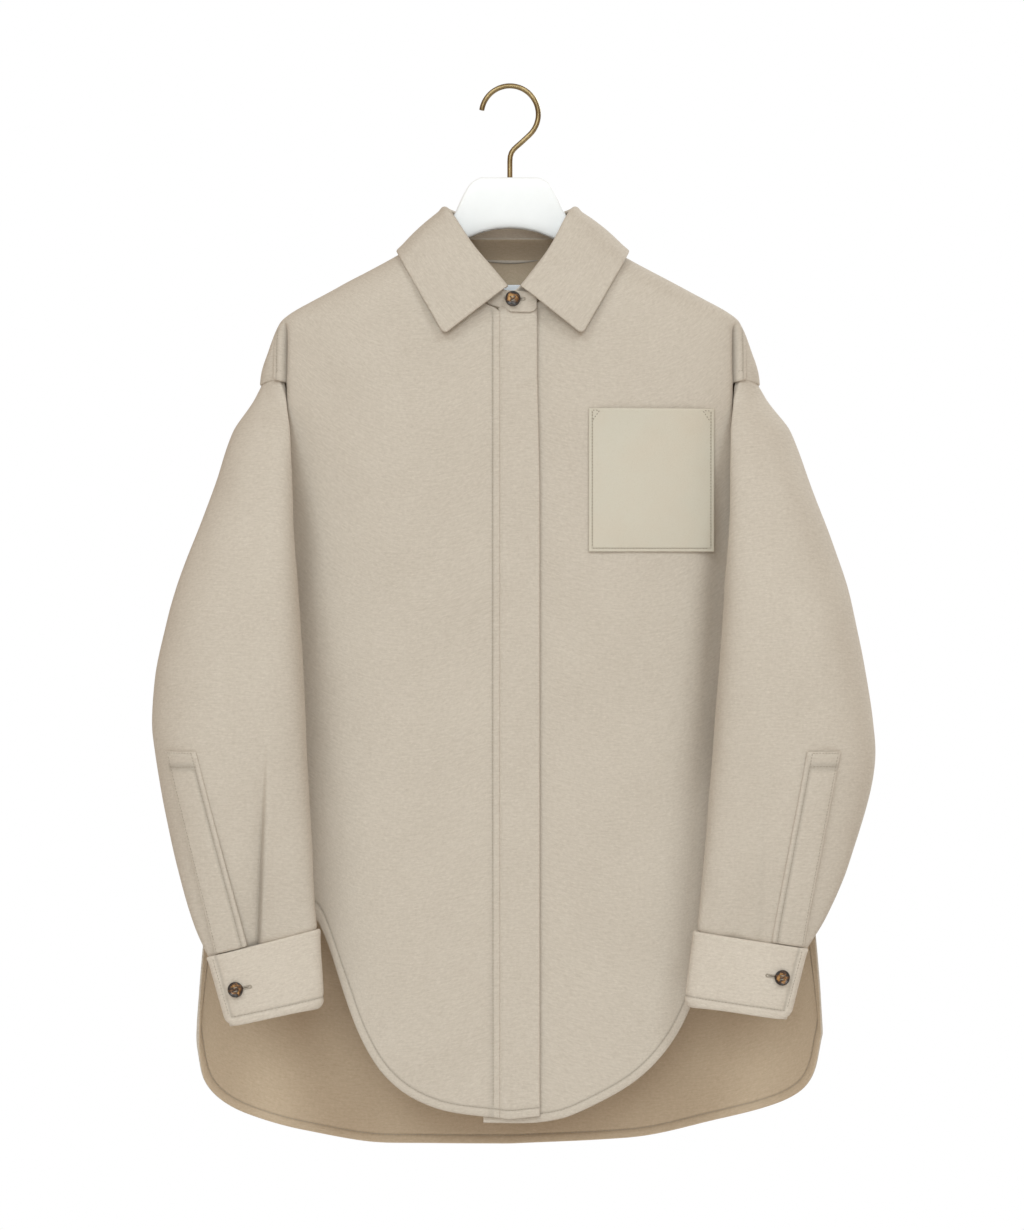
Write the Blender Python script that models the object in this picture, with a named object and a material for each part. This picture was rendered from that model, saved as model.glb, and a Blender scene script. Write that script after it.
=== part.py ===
# Wool shirt jacket hanging on a contoured hanger, +Z up, front facing -Y.
# The origin is the inside of the hook's crown, where the hook rests on whatever carries it.
import math

import bmesh
import bpy
import numpy as np
from mathutils import Matrix, Vector

MM = 0.001

# Driving dimensions, millimetres
CLOTH = 2.0            # wool wall
LEATHER = 1.4          # pocket wall
SEAM = 0.3             # clear gap wherever two pieces meet
TIP_Z = -222.0         # shoulder line meets the end of the hanger
CROWN_Z = -277.0       # dropped shoulder ends, sleeve begins
CREASE_X = 213.0       # fold below the end of the hanger
UNDERARM_Z = -500.0
SPREAD_Z = -600.0      # below this the rows lean into the hem
NECK_TOP_Z = -141.0
NECK_FRONT_Z = -213.0
NECK_BACK_Z = -165.0
NECK_HALF = 70.0
SLEEVE_LOW = -626.0
PLACKET_X = -9.5       # seam of the concealed placket
PLACKET_EDGE = 25.5    # its free edge
UNDER_EDGE = -25.0     # edge of the lower front behind it
UNDER_SLIP = 4.0       # how far the lower layers sit behind
BUTTON_R = 7.3
BUTTON_T = 3.2
HOOK_R = 27.0
HOOK_WIRE = 2.45

# Body sections, one row per height: half width, depth to the front and back, side line
BODY = dict(
    z=(-138, -160, -190, -222, -245, -277, -330, -400, -500, -620, -752, -900, -1020),
    half=(73, 107, 163, 219, 229, 237, 240, 245, 253, 270, 287, 297, 298),
    front=(25, 33, 39, 42, 43, 43, 43, 43, 44, 46, 49, 51, 52),
    back=(22, 28, 32, 34, 35, 36, 37, 38, 40, 42, 45, 47, 48),
    side=(0, 0, 0, 0, 2, 5, 9, 12, 14, 16, 18, 18, 18),
)

# Armhole on the body, one row per height: distance out on the front and on the back
ARMHOLE = dict(
    z=(-283, -310, -350, -400, -440, -475, -492, -500),
    front=(213, 213, 213, 214, 219, 230, 243, 253),
    back=(229, 230, 232, 235, 239, 245, 250, 253),
)

# Sleeve sections: outer and inner edge on each side, centre line and depths
SLEEVE = dict(
    z=(-277, -315, -382, -448, -475, -505, -562, -600, -626, -724, -775, -800),
    out_l=(239, 257, 281, 304, 313, 321, 332, 334, 331, 309, 293, 281),
    in_l=(212, 208, 204, 201, 199, 197, 193, 191, 190, 185, 183, 180.5),
    out_r=(240, 260, 286, 309, 317, 324, 334, 339, 341, 316, 293, 276.5),
    in_r=(212, 209, 206, 203, 201, 199, 195, 192, 190, 182, 177, 174.8),
    centre=(0, -14, -33, -45, -50, -54, -60, -64, -67, -76, -80, -82),
    lean=(6, 10, 12, 12, 11, 10, 8, 6, 5, 2, 0, 0),
    front=(12, 20, 36, 44, 47, 50, 51, 49, 46, 30, 18, 12),
    back=(12, 16, 27, 35, 38, 40, 42, 41, 39, 27, 17, 12),
    start=(150, 172, 188, 204, 236, 275, 275, 275, 275, 275, 275, 275),
    stop=(-62, -70, -78, -82, -84, -85, -85, -85, -85, -85, -85, -85),
)

# Hems, from the centre line to the side, each side of the front and then the back
HEM_LEFT = dict(x=(-26, 0, 57, 90, 119, 141, 157, 171, 184, 205, 240, 286),
                z=(-976, -973, -966, -954, -931, -895, -852, -809, -782, -767, -757, -752))
HEM_RIGHT = dict(x=(-26, 0, 14, 42, 82, 122, 153, 171, 184, 205, 240, 286),
                 z=(-978, -978, -978, -974, -958, -934, -900, -865, -820, -775, -757, -752))
HEM_BACK_L = dict(x=(0, 116, 199, 256, 282, 293, 298), z=(-1008, -1007, -994, -976, -958, -940, -905))
HEM_BACK_R = dict(x=(0, 116, 195, 255, 281, 291, 297), z=(-1008, -1002, -985, -968, -952, -934, -900))

# Collar from the centre back (0) by the shoulder (0.5) to the front end (1): top of the
# stand, then the edge of the fall with its height off the cloth below
COLLAR = dict(
    a=(0.0, 0.2, 0.38, 0.5, 0.62, 0.8, 1.0),
    top_x=(0, 28, 51, 58.5, 56.5, 39, 6), top_y=(33, 29, 15, -1, -17, -35, -45),
    top_z=(-127, -125.5, -121, -118.5, -122, -153, -195),
    edge_x=(0, 46, 90, 107, 102, 86, 62), edge_z=(-190, -183, -162, -156, -166, -195, -237),
    edge_y=(37, 35, 26.5, 1, -26, -42, -51),
)

# Hanger arm sections from the middle out: top, bottom and half thickness
HANGER = dict(
    x=(0, 10, 26, 36, 42, 52, 58, 64, 72, 100, 150, 196, 208),
    top=(-84.5, -84.5, -84.5, -89, -97, -118, -130, -147, -152, -164, -188.9, -214.4, -226),
    base=(-133, -133.6, -137, -141, -143.5, -149, -154, -160, -167, -184, -211, -237, -240),
    thick=(7, 7, 7, 7, 7, 7, 7.2, 7.6, 8.2, 10, 12, 12, 8),
)

# Smooth value of one named column at a place along another
def read(table, name, at, key="z"):
    xs = np.array(table[key], float)
    ys = np.array(table[name], float)
    if xs[0] > xs[-1]:
        xs, ys = xs[::-1], ys[::-1]
    at = float(min(max(at, xs[0]), xs[-1]))
    gap = np.diff(xs)
    rise = np.diff(ys) / gap
    lean = np.zeros(len(xs))
    lean[0], lean[-1] = rise[0], rise[-1]
    for i in range(1, len(xs) - 1):
        if rise[i - 1] * rise[i] > 0:
            lean[i] = 2 * rise[i - 1] * rise[i] / (rise[i - 1] + rise[i])
    i = int(min(max(np.searchsorted(xs, at) - 1, 0), len(xs) - 2))
    t = (at - xs[i]) / gap[i]
    return float((2 * t**3 - 3 * t**2 + 1) * ys[i] + (t**3 - 2 * t**2 + t) * gap[i] * lean[i]
                 + (-2 * t**3 + 3 * t**2) * ys[i + 1] + (t**3 - t**2) * gap[i] * lean[i + 1])


def ease(t):
    t = min(max(t, 0.0), 1.0)
    return t * t * (3 - 2 * t)


def mix(a, b, t):
    return a + (b - a) * t


# Share of the way round the body from centre front (0) by the side (1) to centre back (2)
def share(x, z, back=False):
    r = min(abs(x) / read(BODY, "half", z), 1.0)
    f = math.asin(r) * 2 / math.pi
    return 2 - f if back else f


def body(f, z):
    half, side = read(BODY, "half", z), read(BODY, "side", z)
    turn = f * math.pi / 2
    r = abs(math.sin(turn))
    swell = max(1 - r**3.4, 0.0) ** 0.57
    x = half * math.sin(turn)
    if abs(f) <= 1:
        return np.array([x, side - (read(BODY, "front", z) + side) * swell, z])
    return np.array([x, side + (read(BODY, "back", z) - side) * swell, z])


def shoulder_share(z):
    if z > TIP_Z:
        return 1.0
    return mix(1.0, share(223, z), ease((TIP_Z - z) / 16))


def neck_x(z, back=False):
    low = NECK_BACK_Z if back else NECK_FRONT_Z
    if z <= low:
        return 0.0
    t = (z - low) / (NECK_TOP_Z - low)
    return (NECK_HALF - 2) * math.sqrt(max(1 - (1 - t) ** 2, 0.0)) ** 1.1


def hem_at(hem, start, s):
    xs, zs = np.array(hem["x"], float), np.array(hem["z"], float)
    keep = xs >= start
    xs = np.concatenate([[start], xs[keep]])
    zs = np.concatenate([[np.interp(start, hem["x"], hem["z"])], zs[keep]])
    run = np.concatenate([[0], np.cumsum(np.hypot(np.diff(xs), np.diff(zs)))])
    table = dict(s=run / run[-1] + np.arange(len(run)) * 1e-9, x=xs, z=zs)
    return read(table, "x", s, "s"), read(table, "z", s, "s")


NECK_ROWS = (-141, -147, -156, -162, -165, -176, -190, -202, -213, -222, -234, -249, -263, -277)
ARM_ROWS = (-292, -310, -335, -365, -400, -435, -465, -485, -500)
SIDE_ROWS = (-520, -545, -572, -600)
STEP = len(NECK_ROWS) - 1
LOBE_TOP = NECK_ROWS.index(-234)
LOBE = 3


def step_z(x):
    return CROWN_Z - 6 * ease((237 - abs(x)) / 24)


# One half of the body cloth: columns from the centre to the armhole, then the dropped shoulder
def half_panel(columns, hem_rows, hem, start, back):
    rows = NECK_ROWS + ARM_ROWS + SIDE_ROWS
    grid = np.zeros((len(rows) + hem_rows, columns + LOBE + 1, 3))
    name = "back" if back else "front"
    for j, z in enumerate(rows):
        half = read(BODY, "half", z)
        low = NECK_BACK_Z if back else NECK_FRONT_Z
        inner = max(neck_x(z, back), start) if z > low + 0.5 else start
        if not back and z == NECK_FRONT_Z:
            inner = abs(PLACKET_X)
        if z > ARM_ROWS[0] + 1:
            crease = read(ARMHOLE, name, -283)
            outer = crease if z < TIP_Z else half * crease / 219.0
        elif z > UNDERARM_Z:
            outer = read(ARMHOLE, name, z)
        else:
            outer = half
        for i in range(columns + 1):
            t = i / columns
            t = mix(t, math.sin(t * math.pi / 2), 0.45)
            x = mix(inner, outer, t)
            level = z if j != STEP else step_z(x) if x > 200 else mix(CROWN_Z, step_z(200), ease(x / 200))
            f = share(x, level, back) * (1 if x >= 0 else -1)
            if back and x < 0:
                f = -f
            grid[j, i] = body(f, level)
        first = share(outer, z, back)
        last = shoulder_share(z)
        for k in range(1, LOBE + 1):
            f = mix(first, last, k / LOBE)
            level = z if j != STEP else step_z(body(f, z)[0])
            grid[j, columns + k] = body(f, level)
    base = len(rows) - 1
    for r in range(1, hem_rows + 1):
        v = r / hem_rows
        for i in range(columns + 1):
            t = mix(i / columns, math.sin(i / columns * math.pi / 2), 0.2)
            hx, hz = hem_at(hem, start, t)
            x, z = mix(grid[base, i][0], hx, ease(v) * 0.5 + v * 0.5), mix(SPREAD_Z, hz, v)
            half = read(BODY, "half", z)
            if i == columns:
                f = 1.0
            else:
                f = share(min(abs(x), half * 0.9995), z, back)
            f = -f if x < 0 else f
            grid[base + r, i] = body(f, z)
            if back and i == columns and z < -760:
                grid[base + r, i][1] -= 5 * ease((-760 - z) / 120)
        for k in range(1, LOBE + 1):
            grid[base + r, columns + k] = grid[base + r, columns]
    return grid


def panel_mask(grid, columns):
    keep = np.ones((grid.shape[0] - 1, grid.shape[1] - 1), bool)
    keep[STEP:, columns:] = False
    return keep


# Sleeve cloth: rows run from the front of the armhole round the outside to the back of it
def sleeve_section(side, turn, z):
    out, inn = read(SLEEVE, "out_" + side, z), read(SLEEVE, "in_" + side, z)
    a = math.radians(turn)
    depth = read(SLEEVE, "front", z) if math.sin(a) > 0 else read(SLEEVE, "back", z)
    c, s = math.cos(a), math.sin(a)
    wide = math.copysign(abs(c) ** 0.9, c)
    deep = math.copysign(abs(s) ** mix(1.0, 0.7, ease((-680 - z) / 120)), s)
    return np.array([(out + inn) / 2 + (out - inn) / 2 * wide,
                     read(SLEEVE, "centre", z) + read(SLEEVE, "lean", z) * c - depth * deep, z])


def cuff_line(side, x):
    if side == "l":
        return mix(-792.0, -817.0, (x - 180.5) / 100.5)
    return mix(-794.0, -809.0, (x - 174.8) / 101.7)


# The lower sleeve leans its rows over until the last one follows the top of the cuff
def sleeve_low(side, turn, v):
    end = sleeve_section(side, turn, -800)
    spot = sleeve_section(side, turn, mix(SLEEVE_LOW, -800, v))
    spot[2] = mix(SLEEVE_LOW, cuff_line(side, end[0]) + 0.7, v)
    return spot


def sleeve_turn(side, x, level):
    out, inn = read(SLEEVE, "out_" + side, level), read(SLEEVE, "in_" + side, level)
    wide = min(max((x - (out + inn) / 2) / ((out - inn) / 2), -1), 1)
    return math.degrees(math.acos(math.copysign(abs(wide) ** (1 / 0.9), wide)))


def sleeve_grid(side, columns, lower_rows):
    rows = (CROWN_Z,) + ARM_ROWS + SIDE_ROWS + (SLEEVE_LOW,)
    grid = np.zeros((len(rows) + lower_rows, columns + 1, 3))
    for j, z in enumerate(rows):
        first, last = read(SLEEVE, "start", z), read(SLEEVE, "stop", z)
        if z > UNDERARM_Z - 1:
            low = max(min(z, -283), UNDERARM_Z)
            f0, f1 = share(read(ARMHOLE, "front", low), z), share(read(ARMHOLE, "back", low), z, True)
        else:
            f0 = f1 = None
        full = min((CROWN_Z - z) / 45, 1.0) ** 0.8
        line = []
        for k in range(columns + 1):
            t = k / columns
            spot = sleeve_section(side, mix(first, last, t), z)
            if f0 is not None and full < 1:
                seam = body(mix(f0, f1, t), z)
                seam[2] = step_z(seam[0]) if j == 0 else z
                spot = mix(seam, spot, full)
            line.append(spot)
        if f0 is not None and full > 0:
            pull0, pull1 = body(f0, z) - line[0], body(f1, z) - line[-1]
            if z < UNDERARM_Z + 1:
                pull0, pull1 = pull0 + [-1, -8, 0], pull1 + [5, -5, 0]
            for k in range(columns + 1):
                t = k / columns
                line[k] = (line[k] + pull0 * [ease(1 - t * 7), ease(1 - t * 24), 0]
                           + pull1 * ease(1 - (1 - t) * 6))
        grid[j] = line
    base = len(rows) - 1
    for r in range(1, lower_rows + 1):
        v = r / lower_rows
        for k in range(columns + 1):
            turn = mix(read(SLEEVE, "start", -700), read(SLEEVE, "stop", -700), k / columns)
            grid[base + r, k] = sleeve_low(side, turn, v)
    return grid


def flip(grid):
    out = grid.copy()
    out[..., 0] *= -1
    return out


# Pull one edge of a grid in along its own lines by a length
def inset(grid, edge, amount):
    lines = {"left": grid, "right": grid[:, ::-1], "top": grid.transpose(1, 0, 2),
             "bottom": grid[::-1].transpose(1, 0, 2)}[edge]
    amount = np.broadcast_to(np.array(amount, float), (lines.shape[0],))
    for line, want in zip(lines, amount):
        left, i = want, 0
        while i < len(line) - 2:
            step = np.linalg.norm(line[i + 1] - line[i])
            if left < step * 0.7:
                break
            left -= step
            i += 1
        step = np.linalg.norm(line[i + 1] - line[i])
        if step < 1e-6:
            continue
        head = line[i] + (line[i + 1] - line[i]) * (left / step)
        if i == 0:
            line[0] = head
        else:
            tail = line[i + 2].copy() if i + 2 < len(line) else line[i + 1].copy()
            count = i + 2 if i + 2 < len(line) else i + 1
            for k in range(count):
                line[k] = mix(head, tail, k / count)


def normals(grid, closed=False):
    if closed:
        du = np.roll(grid, -1, 1) - np.roll(grid, 1, 1)
    else:
        du = np.gradient(grid, axis=1)
    dv = np.gradient(grid, axis=0)
    n = np.cross(du, dv)
    size = np.linalg.norm(n, axis=2, keepdims=True)
    size[size < 1e-9] = 1
    return n / size


def material(name, colour, rough, metal=0.0):
    mat = bpy.data.materials.new(name)
    mat.use_nodes = True
    shader = mat.node_tree.nodes["Principled BSDF"]
    shader.inputs["Base Color"].default_value = (*colour, 1)
    shader.inputs["Roughness"].default_value = rough
    shader.inputs["Metallic"].default_value = metal
    mat.diffuse_color = (*colour, 1)
    return mat


def place(name, bm, mat, smooth=True):
    bmesh.ops.remove_doubles(bm, verts=bm.verts, dist=0.00002)
    bmesh.ops.dissolve_degenerate(bm, edges=bm.edges, dist=0.00001)
    bmesh.ops.recalc_face_normals(bm, faces=bm.faces)
    mesh = bpy.data.meshes.new(name)
    bm.to_mesh(mesh)
    bm.free()
    mesh.materials.append(mat)
    if smooth:
        for poly in mesh.polygons:
            poly.use_smooth = True
    obj = bpy.data.objects.new(name, mesh)
    bpy.context.scene.collection.objects.link(obj)
    return obj


# A cloth wall: the grid moved half its thickness each way and closed round its edges
def wall(name, grid, thick, mat, keep=None, closed=False, outward=0.0, flipped=False, norm=None):
    n = normals(grid, closed) if norm is None else norm
    if flipped:
        n = -n
    rows, cols = grid.shape[:2]
    spans = cols if closed else cols - 1
    if keep is None:
        keep = np.ones((rows - 1, spans), bool)
    bm = bmesh.new()
    made = {}

    def vert(r, c, layer):
        c %= cols
        if (r, c, layer) not in made:
            lift = outward + thick * (0.5 if layer else -0.5)
            made[r, c, layer] = bm.verts.new(Vector((grid[r, c] + n[r, c] * lift) * MM))
        return made[r, c, layer]

    def held(r, c):
        if closed:
            c %= spans
        return 0 <= r < rows - 1 and 0 <= c < spans and keep[r, c]

    for r in range(rows - 1):
        for c in range(spans):
            if not keep[r, c]:
                continue
            ring = [(r, c), (r, c + 1), (r + 1, c + 1), (r + 1, c)]
            bm.faces.new([vert(*p, 1) for p in ring])
            bm.faces.new([vert(*p, 0) for p in reversed(ring)])
            sides = [(r - 1, c), (r, c + 1), (r + 1, c), (r, c - 1)]
            for k, other in enumerate(sides):
                if not held(*other):
                    p, q = ring[k], ring[(k + 1) % 4]
                    bm.faces.new([vert(*p, 0), vert(*q, 0), vert(*q, 1), vert(*p, 1)])
    return place(name, bm, mat)


# Turned disc with a dished face, standing off along its own axis
def button(name, centre, axis, mat):
    rings = ((0.0, 0.55), (0.62, 0.55), (0.76, 1.0), (0.93, 0.92), (1.0, 0.55), (0.93, 0.06), (0.8, 0.0), (0.0, 0.0))
    bm = bmesh.new()
    loops = []
    for r, h in rings:
        if r == 0:
            loops.append([bm.verts.new((0, 0, h * BUTTON_T))])
        else:
            loops.append([bm.verts.new((r * BUTTON_R * math.cos(a * math.tau / 20),
                                        r * BUTTON_R * math.sin(a * math.tau / 20), h * BUTTON_T))
                          for a in range(20)])
    for one, two in zip(loops, loops[1:]):
        for a in range(20):
            ring = [one[a % len(one)], one[(a + 1) % len(one)], two[(a + 1) % len(two)], two[a % len(two)]]
            bm.faces.new(list(dict.fromkeys(ring)))
    turn = Vector((0, 0, 1)).rotation_difference(Vector(axis).normalized()).to_matrix().to_4x4()
    bmesh.ops.transform(bm, verts=bm.verts, matrix=Matrix.Scale(MM, 4) @ Matrix.Translation(Vector(centre)) @ turn)
    return place(name, bm, mat)


def fold_angle(body_edge, body_next, arm_edge, arm_next):
    a, b = body_edge - body_next, arm_next - arm_edge
    cosine = np.dot(a, b) / max(np.linalg.norm(a) * np.linalg.norm(b), 1e-9)
    return math.acos(min(max(cosine, -1), 1))


def mitre(angle):
    return min(SEAM / 2 + 0.35 + CLOTH / 2 * math.tan(min(angle, 2.8) / 2) * 1.2, 6.0)


for old in list(bpy.data.objects):
    bpy.data.objects.remove(old, do_unlink=True)

wool = material("wool", (0.56, 0.49, 0.40), 0.95)
wool_light = material("wool_light", (0.60, 0.53, 0.44), 0.95)
hide = material("leather", (0.57, 0.52, 0.42), 0.5)
horn = material("horn", (0.10, 0.06, 0.03), 0.3)
label_cloth = material("label_cloth", (0.85, 0.85, 0.85), 0.8)
lacquer = material("lacquer", (0.86, 0.86, 0.85), 0.5)
brass = material("brass", (0.36, 0.27, 0.13), 0.35, 1.0)

FRONT_COLS, BACK_COLS = 9, 9
HEM_ROWS = 8
BACK_MID = 7.0

# Raw middle surfaces, all on the viewer's right, then turned over for the left
left_front = half_panel(FRONT_COLS, HEM_ROWS, HEM_LEFT, abs(PLACKET_X), False)
right_front = half_panel(FRONT_COLS, HEM_ROWS, HEM_RIGHT, UNDER_EDGE, False)
back_l = half_panel(BACK_COLS, HEM_ROWS + 1, HEM_BACK_L, BACK_MID, True)
back_r = half_panel(BACK_COLS, HEM_ROWS + 1, HEM_BACK_R, BACK_MID, True)
arms = {side: sleeve_grid(side, 26, 5) for side in "lr"}

# Lower front passes behind the placket
for row in right_front:
    for p in row:
        if p[2] < NECK_FRONT_Z + 4:
            p[1] += (UNDER_SLIP - 0.5) * ease((58 - p[0]) / 30)

# Seam gaps along the armholes, shoulders and sides
first_arm, last_arm = STEP + 1, STEP + len(ARM_ROWS)
for side, front, rear in (("l", left_front, back_l), ("r", right_front, back_r)):
    arm = arms[side]
    cut_front, cut_rear = [], []
    for j in range(len(ARM_ROWS)):
        row, mine = first_arm + j, 1 + j
        cut_front.append(mitre(fold_angle(front[row, FRONT_COLS], front[row, FRONT_COLS - 1],
                                          arm[mine, 0], arm[mine, 1])))
        cut_rear.append(mitre(fold_angle(rear[row, BACK_COLS], rear[row, BACK_COLS - 1],
                                         arm[mine, -1], arm[mine, -2])))
    for panel, cols, cuts in ((front, FRONT_COLS, cut_front), (rear, BACK_COLS, cut_rear)):
        amounts = np.full(panel.shape[0], SEAM / 2 + 0.1)
        amounts[:first_arm] = 0
        amounts[first_arm:last_arm + 1] = cuts
        inset(panel[:, :cols + 1], "right", amounts)
        shoulder = np.zeros(panel.shape[0])
        shoulder[:STEP + 1] = SEAM / 2 + 0.05
        inset(panel, "right", shoulder)
        for c in range(cols, cols + LOBE + 1):
            panel[STEP, c] += (panel[STEP - 1, c] - panel[STEP, c]) * 0.02
    amounts = np.full(arm.shape[0], SEAM / 2 + 0.05)
    amounts[1:1 + len(ARM_ROWS)] = cut_front
    inset(arm, "left", amounts)
    amounts[1:1 + len(ARM_ROWS)] = cut_rear
    inset(arm, "right", amounts)
    inset(arm, "top", SEAM + 0.4)



# Both pieces share one edge direction where the shoulder and side seams meet
def unit(n):
    return n / np.maximum(np.linalg.norm(n, axis=-1, keepdims=True), 1e-9)


faces = {}
for side, front, rear in (("l", left_front, back_l), ("r", right_front, back_r)):
    ahead, behind = normals(front), -normals(rear)
    for n in (ahead, behind):
        n[STEP, FRONT_COLS:, 2] = 0
        n[last_arm:, FRONT_COLS:, 1] = 0
        n[:LOBE_TOP, -1, 1] = 0
    joint = unit(ahead[LOBE_TOP:STEP + 1, -1] + behind[LOBE_TOP:STEP + 1, -1])
    ahead[LOBE_TOP:STEP + 1, -1], behind[LOBE_TOP:STEP + 1, -1] = joint, joint
    faces[side] = unit(ahead), unit(behind)

wall("front_left", flip(left_front), CLOTH, wool, panel_mask(left_front, FRONT_COLS), norm=flip(faces["l"][0]))
wall("front_right", right_front, CLOTH, wool, panel_mask(right_front, FRONT_COLS), norm=faces["r"][0])

# The back in one piece: left half mirrored onto the right
whole = np.concatenate([flip(back_l)[:, ::-1], back_r], axis=1)
outs = np.concatenate([flip(faces["l"][1])[:, ::-1], faces["r"][1]], axis=1)
middle = np.array([[z <= NECK_BACK_Z] for z in (NECK_ROWS + ARM_ROWS + SIDE_ROWS + (-700,) * HEM_ROWS)])
mask = panel_mask(back_l, BACK_COLS)
wall("back", whole, CLOTH, wool, np.concatenate([mask[:, ::-1], middle, mask], axis=1), norm=outs)

for side, name in (("l", "sleeve_left"), ("r", "sleeve_right")):
    n = -normals(arms[side])
    n[0, :, 2] = 0
    n = unit(n)
    cloth, n = (flip(arms[side]), flip(n)) if side == "l" else (arms[side], n)
    wall(name, cloth, CLOTH, wool, norm=n)


# A strip laid over the body cloth: a grid of places across and down, lifted off the wall
def on_body(xs, zs):
    grid = np.array([[body(share(x, z) * (1 if x >= 0 else -1), z) for x in xs] for z in zs])
    return grid


# Concealed placket, from its seam to the free edge of the upper front

levels = np.concatenate([np.linspace(-216.5, -600, 13), np.linspace(-645, -970, 8)])
xs = np.linspace(PLACKET_X + SEAM, PLACKET_EDGE, 6)
placket = on_body(xs, levels)
for c, x in enumerate(xs):
    end = float(np.interp(abs(x), HEM_LEFT["x"], HEM_LEFT["z"]))
    for r in range(13, 21):
        v = (r - 12) / 8
        placket[r, c, 2] = mix(-600, end, v)
wall("placket", placket, CLOTH, wool)

# Leather patch pocket on the wearer's left
pocket = on_body(np.linspace(74, 192, 10), np.linspace(-305.7, -440.6, 7))
wall("pocket", pocket, LEATHER, hide, outward=CLOTH / 2 + 0.5 + LEATHER / 2, flipped=True)


# Where the stand meets the neckline, from the centre back (0) to the centre front (1)
def neckline(a):
    back = a < 0.5
    turn = (a if back else 1 - a) * math.pi
    low = NECK_BACK_Z if back else NECK_FRONT_Z
    z = low + (NECK_TOP_Z - low) * (1 - math.cos(turn))
    x = neck_x(z, back)
    if a >= 0.98:
        return np.array([4.0, body(0.03, NECK_FRONT_Z)[1], NECK_FRONT_Z])
    spot = body(share(x, z, back), z)
    if 0.42 < a < 0.58:
        spot[1] *= ease(abs(a - 0.5) / 0.08)
        spot[2] += 1.5
    return spot


def collar_point(name, a):
    return np.array([read(COLLAR, name + "_x", a, "a"), read(COLLAR, name + "_y", a, "a"),
                     read(COLLAR, name + "_z", a, "a")])


# Collar stand: one strip from the rounded tab in front round the neck to its under end
stand = []
path = [("tab", x) for x in (25.5, 23.5, 18, 11, 3)]
path += [("left", a) for a in (1.0, 0.93, 0.86, 0.79, 0.72, 0.65, 0.58, 0.5, 0.42, 0.34, 0.26, 0.17, 0.08)]
path += [("mid", 0.0)]
path += [("right", a) for a in (0.08, 0.17, 0.26, 0.34, 0.42, 0.5, 0.58, 0.65, 0.72, 0.79, 0.86, 0.93, 1.0)]
path += [("under", x) for x in (0, -6)]
for kind, at in path:
    if kind in ("tab", "under"):
        behind = UNDER_SLIP if kind == "under" else 0.0
        foot, top = neckline(1.0) + [0, behind, 0], collar_point("top", 1.0) + [0, behind, 0]
        foot[0] = top[0] = at
        if kind == "tab":
            lost = {25.5: 0.24, 23.5: 0.08}.get(at, 0.0)
            foot, top = mix(foot, top, lost), mix(top, foot, lost)
            top[2] -= (at + 6) * 0.04
            foot[2] -= (at + 6) * 0.05
    else:
        foot, top = neckline(at), collar_point("top", at)
        inward = np.array([-foot[0], -foot[1] * 0.8, 0])
        foot = foot + inward / max(np.linalg.norm(inward), 1) * 1.8 * math.sin(math.pi * at) ** 0.5
        if kind == "left":
            foot[0], top[0] = -foot[0], -top[0]
        if kind == "right":
            slip = UNDER_SLIP * ease((58 - foot[0]) / 30) if at > 0.6 else 0.0
            foot[1] += slip
            top[1] += slip
    foot = foot + [0, 0, 1.2]
    stand.append([mix(foot, top, v) for v in (0, 0.33, 0.67, 1.0)])
stand = np.array(stand).transpose(1, 0, 2)
wall("collar_stand", stand, CLOTH, wool_light)

# Collar fall: rolls over the top of the stand and comes down outside it
fall = []
marks = [-1.0, -0.9, -0.8, -0.7, -0.62, -0.56, -0.5, -0.44, -0.36, -0.28, -0.19, -0.1]
marks = marks + [0.0] + [-m for m in reversed(marks)]
for m in marks:
    a, sign = abs(m), -1 if m < 0 else 1
    top, edge = collar_point("top", a), collar_point("edge", a)
    step = collar_point("top", min(a + 0.03, 1.0)) - collar_point("top", max(a - 0.03, 0.0))
    if a < 0.01:
        step = np.array([1.0, 0, 0])
    out = unit(np.array([-step[1], step[0], 0.0]))
    if out[0] * top[0] + out[1] * top[1] < 0:
        out = -out
    out = unit(out + np.array([0, -2.0, 0]) * ease((a - 0.85) / 0.15))
    up = unit(np.cross(step, out))
    up = up if up[2] > 0 else -up
    if sign > 0:
        top[0] += 8 * ease((a - 0.6) / 0.4)
        edge[0] += 6 * ease(a / 0.6)
    ring = [top + up * 2.1, top + out * 0.9 + up * 4.3, top + out * 3.4 + up * 5.6,
            top + out * 6.2 + up * 4.4, top + out * 7.6 + up * 1.2]
    for v in (0.16, 0.34, 0.52, 0.68, 0.84, 1.0):
        spot = mix(ring[4], edge, v)
        bulge = 5.0 * v * (1 - v) * 4 * (1 - 0.5 * a)
        ring.append(spot + out * bulge * 0.5 + up * bulge * 0.3)
    fall.append([p * [sign, 1, 1] for p in ring])
fall = np.array(fall).transpose(1, 0, 2)
wall("collar_fall", fall, CLOTH, wool_light)

# Bare woven label under the back neck seam
label = np.array([[body(2 - share(x, z) if x > 0 else -(2 - share(x, z)), z) for x in np.linspace(-9.5, 21, 4)]
                  for z in (-184, -194, -204)])
wall("neck_label", label, 0.8, label_cloth, outward=CLOTH / 2 + 0.4 + 0.4, flipped=True)


# Strips on the sleeves, above the cuffs
def sleeve_strip(side, name, first, last):
    rows = []
    for r in range(8):
        v = r / 7
        level = mix(SLEEVE_LOW, -800, v)
        a = sleeve_turn(side, mix(first[0], first[1], v), level)
        b = sleeve_turn(side, mix(last[0], last[1], v), level)
        rows.append([sleeve_low(side, mix(a, b, k / 5), v) for k in range(6)])
    grid = np.array(rows)
    n = normals(grid)
    if side == "l":
        grid, n = flip(grid), flip(n)
    wall(name, grid, CLOTH, wool, outward=CLOTH + SEAM + 0.5, norm=n)


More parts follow.
